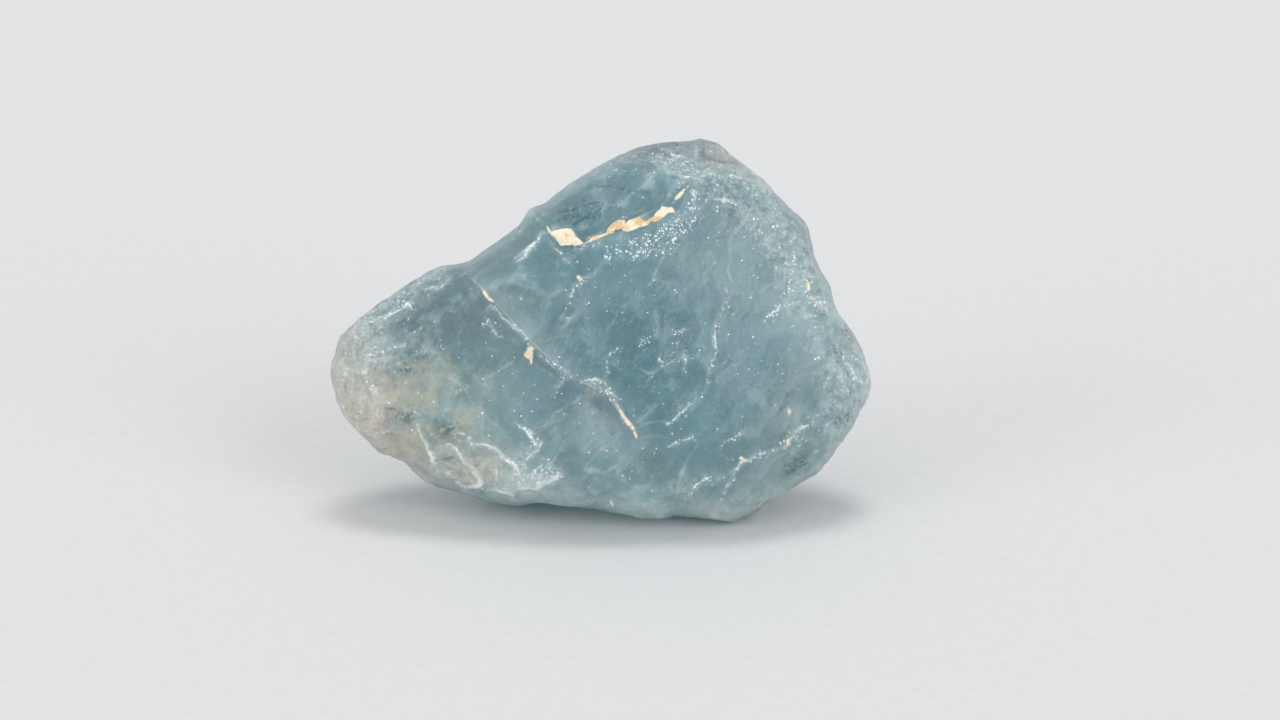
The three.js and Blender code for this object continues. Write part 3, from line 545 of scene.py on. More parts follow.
def body_distance(rays):
    """A cushion, (spread / rim)^p + (depth share)^p = 1, cut by the fracture faces: the distance is the
    sum of all their terms, each to a high power, brought back by the same root."""
    front = rays[:, 2] > 0
    depth = np.where(front, FRONT_DEPTH, BACK_DEPTH)
    p = np.where(front, FRONT_FULLNESS, BACK_FULLNESS)
    spread = np.hypot(rays[:, 0], rays[:, 1])
    cushion = ((spread / rim(rays)) ** p + (np.abs(rays[:, 2]) / depth) ** p) ** (1.0 / p)
    total = cushion**EDGE_SHARPNESS
    for way, at in FACES.values():
        normal = np.array(way) / np.linalg.norm(way)
        total += np.maximum(rays @ normal / at, 0.0) ** EDGE_SHARPNESS
    return total ** (-1.0 / EDGE_SHARPNESS)


def without_ball(distance, rays, centre, radius, softness):
    """Each ray stops where it enters the ball: b - sqrt(b^2 - |c|^2 + r^2), where c is the ball's centre
    and b is how far along the ray it lies."""
    along = rays @ centre
    room = along**2 - centre @ centre + radius**2
    enter = along - np.sqrt(np.maximum(room, 0.0))
    return np.where((along > 0) & (room > 0), soft_min(distance, enter, softness), distance)


def hollowed_distance(rays):
    """The body less its hollows, plus its swells: sines of the place, each with its own waves per mm."""
    distance = body_distance(rays)
    for centre, radius in HOLLOWS.values():
        distance = without_ball(distance, rays, np.array(centre), radius, HOLLOW_SOFTNESS)
    place = rays * distance[:, None]
    for a, b, c, phase, height in SWELLS:
        distance = distance + height * np.sin(TAU * (place @ (a, b, c)) + phase)
    return distance


def closeness_to_rim(rays):
    """(1 - w^2)^4 of the ray's direction: 1 on the rim's plane, and soon 0 away from it."""
    return (1.0 - rays[:, 2] ** 2) ** 4


def rimmed_distance(rays):
    """The hollowed body, scaled by rim / (its own distance on the rim's plane), and less so as a ray
    leaves that plane."""
    angles = np.arctan2(rays[:, 1], rays[:, 0])
    flat = np.stack([np.cos(angles), np.sin(angles), np.zeros(len(rays))], axis=1)
    outward = rim(rays) / hollowed_distance(flat) - 1.0
    return hollowed_distance(rays) * (1.0 + closeness_to_rim(rays) * outward)


def chips():
    """Balls that each cut a shallow cap: a random ray's end, moved out by the radius less the depth of
    the cap."""
    numbers = numbers_from(CHIP_SEED)
    drawn = np.array([[next(numbers) for _ in range(4)] for _ in range(CHIP_COUNT)])
    height, turn = 2.0 * drawn[:, 0] - 1.0, TAU * drawn[:, 1]
    radius = CHIP_RADIUS[0] + (CHIP_RADIUS[1] - CHIP_RADIUS[0]) * drawn[:, 2]
    share = CHIP_DEPTH_SHARE[0] + (CHIP_DEPTH_SHARE[1] - CHIP_DEPTH_SHARE[0]) * drawn[:, 3] ** 2
    flat = np.sqrt(1.0 - height**2)
    rays = np.stack([flat * np.cos(turn), height, flat * np.sin(turn)], axis=1) * BODY_HALF
    rays /= np.linalg.norm(rays, axis=1)[:, None]
    seat = rays * rimmed_distance(rays)[:, None]
    out = seat / BODY_HALF**2
    out /= np.linalg.norm(out, axis=1)[:, None]
    return seat + out * (radius * (1.0 - share))[:, None], radius


def from_stretch(points, start, end):
    """For the nearest point of a straight stretch, in the face: how far off it is, on which side of it
    each point lies (1 is left), and its own share of the way along."""
    (u0, v0), (u1, v1) = start[:2], end[:2]
    du, dv = u1 - u0, v1 - v0
    u, v = points[:, 0] - u0, points[:, 1] - v0
    t = np.clip((u * du + v * dv) / (du * du + dv * dv), 0.0, 1.0)
    ru, rv = u - t * du, v - t * dv
    return np.hypot(ru, rv), np.where(du * rv - dv * ru >= 0, 1.0, -1.0), t


def signed_distance(points, line):
    """Distance in the face to the nearest stretch of a line, positive on its left."""
    best, sign = np.full(len(points), np.inf), np.ones(len(points))
    for start, end in zip(line, line[1:]):
        away, side, _ = from_stretch(points, start, end)
        sign = np.where(away < best, side, sign)
        best = np.minimum(away, best)
    return best * sign


def stone_distance(rays):
    """The rimmed body less its chips and ledges. A ledge is its drop times smooth steps, which take it
    down over its wall, bring it back further off, and end it at its ends."""
    whole = rimmed_distance(rays)
    chipped = whole
    for centre, radius in zip(*chips()):
        chipped = without_ball(chipped, rays, centre, radius, CHIP_SOFTNESS)
    distance = whole + (chipped - whole) * (1.0 - CHIP_RIM_RELIEF * closeness_to_rim(rays))
    place = rays[:, :2] * distance[:, None]
    facing = smooth(rays[:, 2] / FACING)
    for line, drop, side, back_over, from_start, from_end in LEDGES.values():
        away = signed_distance(place, line) * side
        share = smooth(away / LEDGE_WALL) * (1.0 - smooth(away / back_over))
        for (u_end, v_end), reach in ((line[0], from_start), (line[-1], from_end)):
            if reach:
                share *= smooth(np.hypot(place[:, 0] - u_end, place[:, 1] - v_end) / reach)
        distance = distance - facing * drop * share
    return distance


def box_grid(cells):
    """Six grids of two parameters, one on each side of a box, welded where they meet: corners and quads."""
    cells = np.array(cells)
    stride = np.array([(cells[1] + 1) * (cells[2] + 1), cells[2] + 1, 1])
    quads = []
    for axis in range(3):
        a, b = (axis + 1) % 3, (axis + 2) % 3
        i, j = np.meshgrid(np.arange(cells[a]), np.arange(cells[b]), indexing="ij")
        for end in (0, cells[axis]):
            key = end * stride[axis] + i * stride[a] + j * stride[b]
            quad = np.stack([key, key + stride[a], key + stride[a] + stride[b], key + stride[b]], axis=-1)
            quads.append((quad if end else quad[..., ::-1]).reshape(-1, 4))
    keys, quads = np.unique(np.concatenate(quads), return_inverse=True)
    corners = np.stack([keys // size % (count + 1) for size, count in zip(stride, cells)], axis=1)
    return corners / cells - 0.5, quads.reshape(-1, 4)


def corner_normals(points, quads):
    """At each corner, the unit sum of the cross products of the diagonals of the quads round it."""
    a, b, c, d = points[quads].transpose(1, 0, 2)
    facing = np.repeat(np.cross(c - a, d - b), 4, axis=0)
    total = np.stack([np.bincount(quads.ravel(), column, len(points)) for column in facing.T], axis=1)
    return total / np.linalg.norm(total, axis=1)[:, None]


def neighbour_mean(values, quads):
    """At each corner, the mean of the values at the corners joined to it by an edge."""
    ends = np.concatenate([quads, np.roll(quads, -1, axis=1)]).ravel()
    others = np.concatenate([np.roll(quads, -1, axis=1), quads]).ravel()
    count = np.bincount(ends, minlength=len(values))
    return np.stack([np.bincount(ends, column[others], len(values)) / count for column in values.T], axis=1)


def bulge(points, quads, passes):
    """How far each corner stands out of its surroundings: the height over a mean taken again and again."""
    around = points
    for _ in range(passes):
        around = neighbour_mean(around, quads)
    return ((points - around) * corner_normals(points, quads)).sum(axis=1)


# ---------------------------------------------------------------- the marks


def each_stretch(points, strokes):
    """For each stretch of each stroke, the signed distance to it in the face, and its half width there."""
    for stroke in strokes:
        for start, end in zip(stroke, stroke[1:]):
            away, side, t = from_stretch(points, start, end)
            yield away * side, start[2] + t * (end[2] - start[2])


def stroke_depth(points, strokes):
    """How far inside the nearest stroke each point lies: its half width there, less the distance to it."""
    best = np.full(len(points), -FAR)
    for away, width in each_stretch(points, strokes):
        best = np.maximum(best, width - np.abs(away))
    return np.where(points[:, 2] > 0, best, -FAR)


def outline_depth(points, outlines):
    """How far inside the nearest outline each point lies: the distance to its edge, and less that
    distance outside it. A point is inside where a line from it crosses the edge an odd number of times."""
    best = np.full(len(points), -FAR)
    u, v = points[:, 0], points[:, 1]
    for outline in outlines:
        away, inside = np.full(len(points), FAR), np.zeros(len(points), bool)
        for (u0, v0), (u1, v1) in zip(outline, outline[1:] + outline[:1]):
            away = np.minimum(away, from_stretch(points, (u0, v0), (u1, v1))[0])
            crossed = (v0 > v) != (v1 > v)
            inside ^= crossed & (u < u0 + (v - v0) * (u1 - u0) / ((v1 - v0) or 1.0))
        best = np.maximum(best, np.where(inside, away, -away))
    return np.where(points[:, 2] > 0, best, -FAR)


def zone(points, spots):
    """The strongest of several soft spots: strength times exp(-(distance / reach)^2)."""
    found = np.zeros(len(points))
    for centre, reach, strength in spots:
        squared = (((points - centre) / reach) ** 2).sum(axis=1)
        found = np.maximum(found, strength * np.exp(-squared))
    return found


class Lines:
    """Thin lines: the half width and the signed distance of whichever line comes closest to each point."""

    def __init__(self, count):
        self.width, self.side = np.full(count, -FAR), np.full(count, FAR)

    def depth(self):
        """How far inside its line each point lies."""
        return self.width - np.abs(self.side)

    def draw(self, near, side, width):
        """Near points take on a line where it covers them more than what is there."""
        better = width - np.abs(side) > self.depth()[near]
        self.width[near] = np.where(better, width, self.width[near])
        self.side[near] = np.where(better, side, self.side[near])

    def strokes(self, points, strokes):
        """Each stretch of each stroke, on the front alone."""
        front = np.flatnonzero(points[:, 2] > 0)
        for side, width in each_stretch(points[front], strokes):
            self.draw(front, side, width)

    def wander(self, points, normals, starts, seed):
        """From each start, a short line walks a few steps in the surface, turning as it goes."""
        rng = np.random.default_rng(seed)
        for start in starts:
            here, out = points[start], normals[start]
            way = np.cross(out, rng.normal(size=3))
            step, width = rng.uniform(*WANDER_STEP), rng.uniform(*WANDER_WIDTH)
            room = (WANDER_STEPS + 1) * step + 1.0
            near = np.flatnonzero(np.linalg.norm(points - here, axis=1) < room)
            for turn in rng.normal(0.0, WANDER_TURN, WANDER_STEPS):
                way = way - out * (way @ out)
                way /= np.linalg.norm(way)
                way = way * math.cos(turn) + np.cross(out, way) * math.sin(turn)
                nearest = near[np.argmin(np.linalg.norm(points[near] - here - way * step, axis=1))]
                run, from_here = points[nearest] - here, points[near] - here
                along = np.clip(from_here @ run / max(run @ run, 1e-9), 0.0, 1.0)
                away = from_here - along[:, None] * run
                sign = np.where(away @ np.cross(out, run) >= 0, 1.0, -1.0)
                self.draw(near, np.linalg.norm(away, axis=1) * sign, np.full(len(near), width))
                here, out = points[nearest], normals[nearest]

    def marks(self, name):
        """Both marks are kept only near a line, so nothing shows where one line's side meets another's."""
        width = np.where(np.abs(self.side) < LINE_REACH, self.width, -FAR)
        return {name: width, name + "_side": np.clip(self.side, -1.0, 1.0)}


def thin_lines(form, normals):
    """Every kind of thin line: the strokes on the front, and lines that wander over the hidden side."""
    crinkled = bent(form, *LINE_BEND)
    hidden = np.flatnonzero((form[:, 2] < FRONT_BACK) | (np.abs(form[:, 0]) > FRONT_END))
    rng = np.random.default_rng(STARTS_SEED)
    drawn = {}
    for name, (strokes, count, seed) in THIN_LINES.items():
        drawn[name] = Lines(len(form))
        drawn[name].strokes(crinkled, strokes)
        drawn[name].wander(crinkled, normals, rng.choice(hidden, count), seed)
    return drawn


def surface_marks(form, stands_out, lines):
    """Every mark but wear: zones, strokes and outlines. Frost is the more of what edges that stand out
    and its bands have, plus a share of paleness squared."""
    marks = {name: zone(form, spots) for name, spots in ZONES.items()}
    # Painted glow: the stone is painted paler towards its rim, where thin edges would let light through.
    rim_share = np.hypot(form[:, 0], form[:, 1]) / rim(form)
    rim_glow = smooth((rim_share - RIM_GLOW_FROM) / RIM_GLOW_OVER)
    marks["pale"] = np.maximum(marks["pale"], PAINTED_RIM_GLOW * rim_glow)
    marks["beads"] = smooth(stroke_depth(form, BEADED) / BEAD_SOFTNESS + 1.0)
    marks["limonite"] = np.maximum(stroke_depth(form, LIMONITE), outline_depth(form, LIMONITE_CRUSTS))
    marks["crease"] = np.where(form[:, 2] > 0, signed_distance(form, CREASE), FAR)
    from_start, from_end = form[:, 0] - CREASE[0][0], form[:, 1] - CREASE[-1][1]
    marks["crease_end"] = smooth(from_end / CREASE_FADE[1]) * smooth(from_start / CREASE_FADE[0])
    for name, drawn in lines.items():
        marks |= drawn.marks(name)
    edge = smooth((stands_out - EDGE_FROM) / EDGE_OVER) * (1.0 - SLATE_BARE * marks["slate"])
    band = BAND_FROST * smooth(stroke_depth(form, FROSTED_BANDS) / BAND_SOFTNESS + 1.0)
    marks["frost"] = np.clip(np.maximum(edge, band) + PALE_FROST * marks["pale"] ** 2, 0.0, 1.0)
    return marks


def relief(form, stands_out, marks, crack_depth):
    """How far each point moves along its normal: a sum of noises, pits and dents, more of them on frost,
    the seam's groove, which is a bell curve, and smooth steps up for crust and down for cracks."""

    def lumps(height, size, seed, octaves, place=form):
        return height * clouds(place, size, seed, octaves)

    def pits(height, size, seed, octaves, start, over):
        return height * smooth((clouds(form, size, seed, octaves) - start) / over)

    frost, dented = marks["frost"], bent(form, *DENT_BEND)
    total = lumps(*UNDULATION) - stands_out * zone(form, WORN)
    for height, more, size, seed in DENTS:
        total += (height + more * frost) * dents(dented, size, seed)
    total += lumps(*RIPPLES, form @ RIPPLE_WAY.T / RIPPLE_STRETCH)
    total += frost * (lumps(*FROST_LUMPS) - pits(*FROST_PITS)) - pits(*LONE_PITS)
    total += marks["beads"] * lumps(*BEAD_LUMPS) - smooth(marks["flecks"]) * pits(*FLECK_PITS)
    groove = np.exp(-((signed_distance(form, SEAM) / GROOVE_REACH) ** 2))
    total -= GROOVE_DEPTH * groove * (form[:, 2] > 0)
    total += CRUST_THICKNESS * smooth(marks["limonite"] / CRUST_EDGE + CRUST_START)
    return total - CRACK_DEPTH * smooth(crack_depth / CRACK_EDGE + CRACK_START)


def seated(points):
    """The stone leaned back and set down, with its middle over the origin.

    The lean turns (u, v, w) into x = u, y = v sin(lean) - w cos(lean), z = v cos(lean) + w sin(lean), and
    whatever falls below the rest level is lifted to it, which leaves the flat cleavage face.
    """
    u, v, w = points.T
    s, c = math.sin(LEAN), math.cos(LEAN)
    y, z = v * s - w * c, v * c + w * s
    placed = np.stack([u, y, np.maximum(z, REST_LEVEL)], axis=1)
    low, high = placed.min(axis=0), placed.max(axis=0)
    return placed - ((low[0] + high[0]) / 2.0, (low[1] + high[1]) / 2.0, low[2])


def stone_mesh():
    """The stone's points in metres, its quads and its marks: each ray times its distance, then the fine
    relief along the normals, then the lean."""
    corners, quads = box_grid(CELLS)
    rays = corners * GRID_BOX
    rays /= np.linalg.norm(rays, axis=1)[:, None]
    form = rays * stone_distance(rays)[:, None]
    normals = corner_normals(form, quads)
    stands_out = bulge(form, quads, EDGE_PASSES)
    lines = thin_lines(form, normals)
    marks = surface_marks(form, stands_out, lines)
    points = form + normals * relief(form, stands_out, marks, lines["cracks"].depth())[:, None]
    marks["wear"] = smooth(bulge(points, quads, WEAR_PASSES) / WEAR_OVER)
    return seated(points) * MM, quads, marks


def mesh_object(name, points, quads):
    """A new smooth-shaded object whose place is in its mesh."""
    mesh = bpy.data.meshes.new(name)
    mesh.vertices.add(len(points))
    mesh.vertices.foreach_set("co", points.astype(np.float32).ravel())
    mesh.loops.add(quads.size)
    mesh.loops.foreach_set("vertex_index", quads.astype(np.int32).ravel())
    mesh.polygons.add(len(quads))
    mesh.polygons.foreach_set("loop_start", np.arange(0, quads.size, 4, dtype=np.int32))
    mesh.polygons.foreach_set("use_smooth", np.ones(len(quads), bool))
    mesh.update(calc_edges=True)
    mesh.validate()
    return linked(bpy.data.objects.new(name, mesh))


def linked(thing):
    """The same object, put into the scene."""
    bpy.context.scene.collection.objects.link(thing)
    return thing


def write_marks(mesh, marks):
    """Each mark becomes a number at every corner, which the material reads by name."""
    for name, values in marks.items():
        layer = mesh.attributes.new(name, "FLOAT", "POINT")
        layer.data.foreach_set("value", np.asarray(values, np.float32))


# ---------------------------------------------------------------- materials


class Wiring:
    """A material's nodes, made one call at a time. Each call gives back the socket with its result."""

    def __init__(self, name):
        self.material = bpy.data.materials.new(name)
        self.material.use_nodes = True
        self.tree = self.material.node_tree
        self.tree.nodes.clear()

    def node(self, kind, inputs=None, **settings):
        made = self.tree.nodes.new(kind)
        for name, value in settings.items():
            setattr(made, name, value)
        for name, value in (inputs or {}).items():
            if isinstance(value, bpy.types.NodeSocket):
                self.tree.links.new(value, made.inputs[name])
            else:
                made.inputs[name].default_value = value
        return made

    def maths(self, operation, *values):
        return self.node("ShaderNodeMath", dict(enumerate(values)), operation=operation).outputs[0]

    def add(self, a, b):
        return self.maths("ADD", a, b)

    def times(self, *values):
        return reduce(lambda a, b: self.maths("MULTIPLY", a, b), values)

    def less(self, a, b):
        return self.maths("SUBTRACT", a, b)

    def most(self, *values):
        return reduce(lambda a, b: self.maths("MAXIMUM", a, b), values)

    def unsigned(self, value):
        """The value without its sign."""
        return self.maths("ABSOLUTE", value)

    def sway(self, noise, strength):
        """A noise from its middle value, 0.5, times this strength."""
        return self.times(self.less(noise, 0.5), strength)

    def between(self, value, low, high, to_low=0.0, to_high=1.0):
        """0 up to low and 1 from high, with a smooth curve between; or the same between two other ends."""
        inputs = {"Value": value, "From Min": low, "From Max": high, "To Min": to_low, "To Max": to_high}
        return self.node("ShaderNodeMapRange", inputs, interpolation_type="SMOOTHSTEP").outputs[0]

    def blend(self, share, a, b):
        """Colour a turning into colour b."""
        return self.node("ShaderNodeMix", {0: share, 6: a, 7: b}, data_type="RGBA").outputs[2]

    def mark(self, name):
        return self.node("ShaderNodeAttribute", attribute_name=name).outputs["Fac"]

    def millimetres(self, scale=(1.0, 1.0, 1.0), turn=0.0):
        """Object coordinates in millimetres, turned about Y and then scaled."""
        place = self.node("ShaderNodeTexCoord").outputs["Object"]
        turned = self.node("ShaderNodeMapping", {"Vector": place, "Rotation": (0.0, turn, 0.0)}).outputs[0]
        size = tuple(share / MM for share in scale)
        return self.node("ShaderNodeMapping", {"Vector": turned, "Scale": size}).outputs[0]

    def noise(self, place, size, detail=3.0, rough=0.55):
        inputs = {"Vector": place, "Scale": 1.0 / size, "Detail": detail, "Roughness": rough}
        return self.node("ShaderNodeTexNoise", inputs).outputs["Fac"]

    def cells(self, place, size):
        """Round cells of this size: the distance from a cell's middle, and the cell's random numbers."""
        made = self.node("ShaderNodeTexVoronoi", {"Vector": place, "Scale": 1.0 / size})
        numbers = self.node("ShaderNodeSeparateColor", {0: made.outputs["Color"]})
        return made.outputs["Distance"], numbers.outputs

    def relief(self, height, strength, distance):
        inputs = {"Strength": strength, "Distance": distance, "Height": height}
        return self.node("ShaderNodeBump", inputs).outputs[0]

    def finish(self, surface, volume=None, **settings):
        """A plain surface shader with these inputs, and what fills the inside."""
        out = self.node("ShaderNodeOutputMaterial")
        shader = self.node("ShaderNodeBsdfPrincipled", surface, **settings)
        self.tree.links.new(shader.outputs[0], out.inputs["Surface"])
        if volume:
            self.tree.links.new(volume.outputs[0], out.inputs["Volume"])
        return self.material


def rgba(colour):
    return (*colour, 1.0)


class StoneWiring(Wiring):
    """The topaz's layers, and the noises they share. Each layer is a share from 0 to 1, or a colour."""

    def __init__(self, look):
        super().__init__("topaz")
        self.look = look
        self.place = self.millimetres()
        self.along = self.millimetres((1.0, 1.0, 0.25), math.radians(-36.0))
        self.mottle = self.noise(self.place, 2.2)
        self.crinkle = self.noise(self.place, 0.9, 4.0, 0.72)
        self.grain = self.noise(self.place, 0.42, 3.0, 0.6)
        self.snow = self.noise(self.place, 0.28, 3.0, 0.7)
        self.streaks = self.noise(self.along, 1.0)
        self.ragged = self.sway(self.grain, 0.6)

    def paint(self, colour, share, name):
        """The colour under, covered by this share of the colour with this name."""
        return self.blend(share, colour, rgba(getattr(self.look, name)))

    def soft_mark(self, name, low, high, spread=0.7):
        """A mark with a mottled edge."""
        return self.between(self.add(self.mark(name), self.sway(self.mottle, spread)), low, high)

    def line(self, name, soft):
        """1 inside a thin line and 0 outside it, over this much softness each way."""
        off = self.unsigned(self.add(self.mark(name + "_side"), self.ragged))
        return self.between(self.less(self.mark(name), off), -soft, soft * 0.6)

    def body(self):
        """The clouded blue: soft zones of other colours and stains, under a tone that five noises vary."""
        colour = self.paint(rgba(self.look.body), self.soft_mark("heart", 0.0, 1.0), "deep")
        # The pale zone is partly painted glow, along the rim and the foot, where light would pass through
        # thin stone.
        for name, low, high, spread in (
            ("pale", 0.0, 1.0, 0.7), ("bone", 0.0, 1.0, 0.4), ("slate", 0.1, 0.9, 0.7),
        ):  # fmt: skip
            colour = self.paint(colour, self.times(self.soft_mark(name, low, high, spread), 0.9), name)
        honey = self.mark("honey")
        stain = self.add(self.add(honey, self.sway(self.crinkle, 1.4)), self.sway(self.mottle, 1.4))
        stain = self.times(self.between(stain, 0.1, 1.0), self.between(honey, 0.02, 0.5), 0.7)
        colour = self.paint(colour, stain, "honey")
        colour = self.paint(colour, self.times(self.soft_mark("rose", 0.0, 1.1), 0.75), "rose")
        broad, fine = self.noise(self.place, 6.0, 2.0), self.noise(self.place, 0.3, 2.0, 0.7)
        tone = 1.0
        for noise, strength in (
            (broad, 0.45), (self.mottle, 0.3), (self.streaks, 0.42), (fine, 0.5), (self.crinkle, 0.3),
        ):  # fmt: skip
            tone = self.add(tone, self.sway(noise, strength))
        return self.node("ShaderNodeVectorMath", {0: colour, "Scale": tone}, operation="SCALE").outputs[0]

    def crease_light_and_shade(self, colour):
        """The colour made paler above the crease, as painted light where the proud side's rounded edge
        glows, and darker below it, as painted shade on the lower side, with a thin worn lip between.
        """
        crease = self.add(self.mark("crease"), self.times(self.ragged, 0.5))
        end = self.mark("crease_end")

        def strip(near, far, strength):
            """A strip beside the crease; each of its edges goes from 0 to 1 between two distances."""
            return self.times(self.between(crease, *near), self.between(crease, *far), end, strength)

        # Painted light: a pale strip on the proud side of the crease.
        colour = self.paint(colour, strip((-0.06, 0.1), (2.0, 0.2), 0.24), "pale")
        # Painted shade: a slate strip on the lower side of the crease.
        colour = self.paint(colour, strip((0.06, -0.1), (-2.2, -0.2), 0.4), "slate")
        broken = self.between(self.mottle, 0.4, 0.6, 0.1, 0.6)
        return self.paint(colour, strip((-0.12, -0.02), (0.14, 0.04), broken), "frost")

    def wisps(self):
        """Threads where a noise passes its middle value, in patches, at three sizes."""
        threads = []
        for base, size, thin, patch, low, strength in (
            (self.along, 1.7, 0.016, 3.1, 0.46, 0.3),
            (self.place, 1.9, 0.012, 3.6, 0.48, 0.2),
            (self.along, 0.8, 0.024, 1.8, 0.43, 0.42),
        ):
            off = self.unsigned(self.less(self.noise(base, size, 3.0, 0.5), 0.5))
            patches = self.between(self.noise(self.place, patch, 2.0), low, low + 0.14)
            threads.append(self.times(self.between(off, thin, 0.0), patches, strength))
        return self.times(self.most(*threads), self.between(self.mottle, 0.4, 0.6, 0.3, 1.0))

    def veils(self):
        """Lines under the surface: patchy where they are thin, and whole and whiter where they are wide."""
        width = self.mark("veils")
        patches = self.between(self.mottle, 0.36, 0.62, 0.3, 0.7)
        whole, white = self.between(width, 0.12, 0.26, 0.0, 0.75), self.between(width, 0.06, 0.26, 0.5, 1.0)
        return self.times(self.line("veils", 0.16), self.most(patches, whole), white)

    def frosting(self):
        """A bloom on frosted places, worn tips, beads, and a dusting everywhere."""
        coarse = self.between(self.crinkle, 0.36, 0.66, 0.08, 0.4)
        fine = self.between(self.snow, 0.46, 0.64, 0.0, 0.3)
        bloom = self.times(self.mark("frost"), self.add(coarse, fine))
        worn = self.times(self.mark("wear"), self.between(self.crinkle, 0.4, 0.62, 0.0, 0.3))
        dust = self.add(self.snow, self.times(self.mark("pale"), 0.06))
        dusting = self.times(self.between(dust, 0.6, 0.7), 0.3)
        return self.most(bloom, worn, self.times(self.mark("beads"), 0.1), dusting)

    def cracks(self):
        """White cracks: a broken line, and a chain of specks along it."""
        filled = self.add(self.snow, self.times(self.most(self.mark("cracks"), 0.0), 1.6))
        patchy = self.between(self.noise(self.place, 1.7, 2.0), 0.36, 0.6, 0.4, 1.0)
        broken = self.times(self.line("cracks", 0.1), self.between(filled, 0.58, 0.72), patchy)
        off, numbers = self.cells(self.place, 0.3)
        speck = self.times(self.between(off, 0.5, 0.25), self.between(numbers[1], 0.35, 0.4))
        return self.most(broken, self.times(speck, self.line("cracks", 0.3), 0.85))

    def painted_glints(self):
        """Painted glints: tiny white spots that stand in for highlights, lone cells of three sizes, thicker
        on frost, beads and along cracks.
        """
        sprays = self.between(self.noise(self.place, 1.3), 0.38, 0.6, 0.1, 1.0)
        frost, crack = self.times(self.mark("frost"), 0.09), self.times(self.line("cracks", 0.4), 0.4)
        crowd = self.most(frost, self.times(self.mark("beads"), sprays), crack)
        painted_glints = []
        for size, share, lone in ((0.22, 0.75, 0.03), (0.32, 0.65, 0.012), (0.52, 0.11, 0.0)):
            off, numbers = self.cells(self.place, size)
            chosen = self.less(self.add(self.times(crowd, share), lone), numbers[0])
            spot = self.between(self.add(off, self.ragged), 0.46, 0.2)
            painted_glints.append(self.times(spot, self.between(chosen, 0.0, 0.02)))
        return self.most(*painted_glints)

    def flecks(self):
        """Dark flecks, in streaks and dots, and scratches."""
        dots = self.between(self.noise(self.place, 0.4, 3.0, 0.7), 0.54, 0.6)
        dark = self.most(self.between(self.streaks, 0.57, 0.63, 0.1, 1.0), dots)
        fleck = self.times(self.between(self.mark("flecks"), 0.1, 0.8), dark)
        scratch = self.times(self.line("scratches", 0.14), self.between(self.grain, 0.42, 0.56), 0.7)
        return self.times(self.most(fleck, scratch), 0.75)

    def limonite(self):
        """Where the crust lies, and its colour: cream, and rusty in golden places and where it is thin."""
        iron = self.add(self.mark("limonite"), self.sway(self.noise(self.place, 0.7, 4.0, 0.65), 0.55))
        thin = self.between(self.add(iron, self.ragged), 0.08, -0.04, 0.0, 0.5)
        patch = self.add(self.crinkle, self.sway(self.mottle, 1.2))
        patch = self.add(patch, self.times(self.mark("golden"), 0.28))
        rust = self.most(thin, self.between(patch, 0.62, 0.8, 0.0, 0.9))
        return self.between(iron, -0.05, 0.03), self.paint(rgba(self.look.limonite), rust, "rust")


def topaz_material(look):
    """Milky topaz in layers. What is white or crusted is rougher and lets less light through."""
    w = StoneWiring(look)
    frosting, crack, painted_glint = w.frosting(), w.cracks(), w.painted_glints()
    halo = w.times(w.line("cracks", 0.5), 0.26)
    crust, earth = w.limonite()

    colour = w.crease_light_and_shade(w.body())
    # The glints are painted highlights: white spots laid on in the crack colour.
    for share, name in (
        (w.wisps(), "frost"), (w.veils(), "crack"), (frosting, "frost"), (halo, "frost"),
        (w.times(crack, 0.8), "crack"), (w.times(painted_glint, 0.8), "crack"), (w.flecks(), "fleck"),
    ):  # fmt: skip
        colour = w.paint(colour, share, name)
    colour = w.blend(crust, colour, earth)

    rough = w.between(w.mottle, 0.3, 0.7, look.roughness - 0.06, look.roughness + 0.08)
    rough = w.add(rough, w.times(frosting, 0.2))
    rough = w.less(rough, w.times(w.most(painted_glint, w.times(crack, 0.5)), 0.25))
    opaque = w.most(w.times(frosting, 0.8), crack, crust, painted_glint)

    # Relief too fine for the mesh.
    uneven = w.times(w.crinkle, w.add(w.times(w.mark("frost"), 0.8), 0.25))
    fine = w.add(w.add(uneven, w.times(w.grain, 0.35)), w.times(w.streaks, 0.4))

    surface = {
        "Base Color": colour,
        "Roughness": w.most(rough, w.times(crust, 0.85)),
        "Normal": w.relief(fine, 0.6, 0.16 * MM),
        "IOR": 1.62,
        "Transmission Weight": w.times(w.less(1.0, opaque), look.clarity),
        "Subsurface Weight": look.cloudiness,
        "Subsurface Radius": (0.7, 0.95, 1.0),
        "Subsurface Scale": look.glow_reach,
    }
    inside = {"Color": rgba(look.absorbs_to), "Density": look.absorption}
    return w.finish(surface, w.node("ShaderNodeVolumeAbsorption", inside), subsurface_method="RANDOM_WALK")


def floor_material(colour):
    """Plain pale paper, with a trace of tooth."""
    w = Wiring("floor")
    tooth = w.noise(w.millimetres(), 1.5, 4.0)
    tone = w.blend(w.between(tooth, 0.3, 0.7), rgba(colour), rgba([0.97 * c for c in colour]))
    return w.finish({"Base Color": tone, "Roughness": 0.8, "Normal": w.relief(tooth, 0.15, 0.05 * MM)})


# ---------------------------------------------------------------- the stage, in metres

FLOOR_HALF = 3.0
SKY_COLOUR = (0.93, 0.95, 1.0)
STONE_MIDDLE = Vector((0.0, 0.0, 0.015))  # what the lamps point at
LAMPS = {  # where each stands, how wide it looks in radians, its setting, and its share of that
    "key": ((0.03, 0.08, 0.6), 0.36, "key", 1.0),
    "fill_right": ((0.4, -0.5, 0.3), 0.66, "fill", 1.0),
    "fill_left": ((-0.5, -0.4, 0.16), 0.7, "fill", 0.9),
}
CAMERA_AIM = Vector((3.89, -1.33, 15.32)) * MM
SENSOR_WIDTH = 36.0  # in millimetres, as the lens is


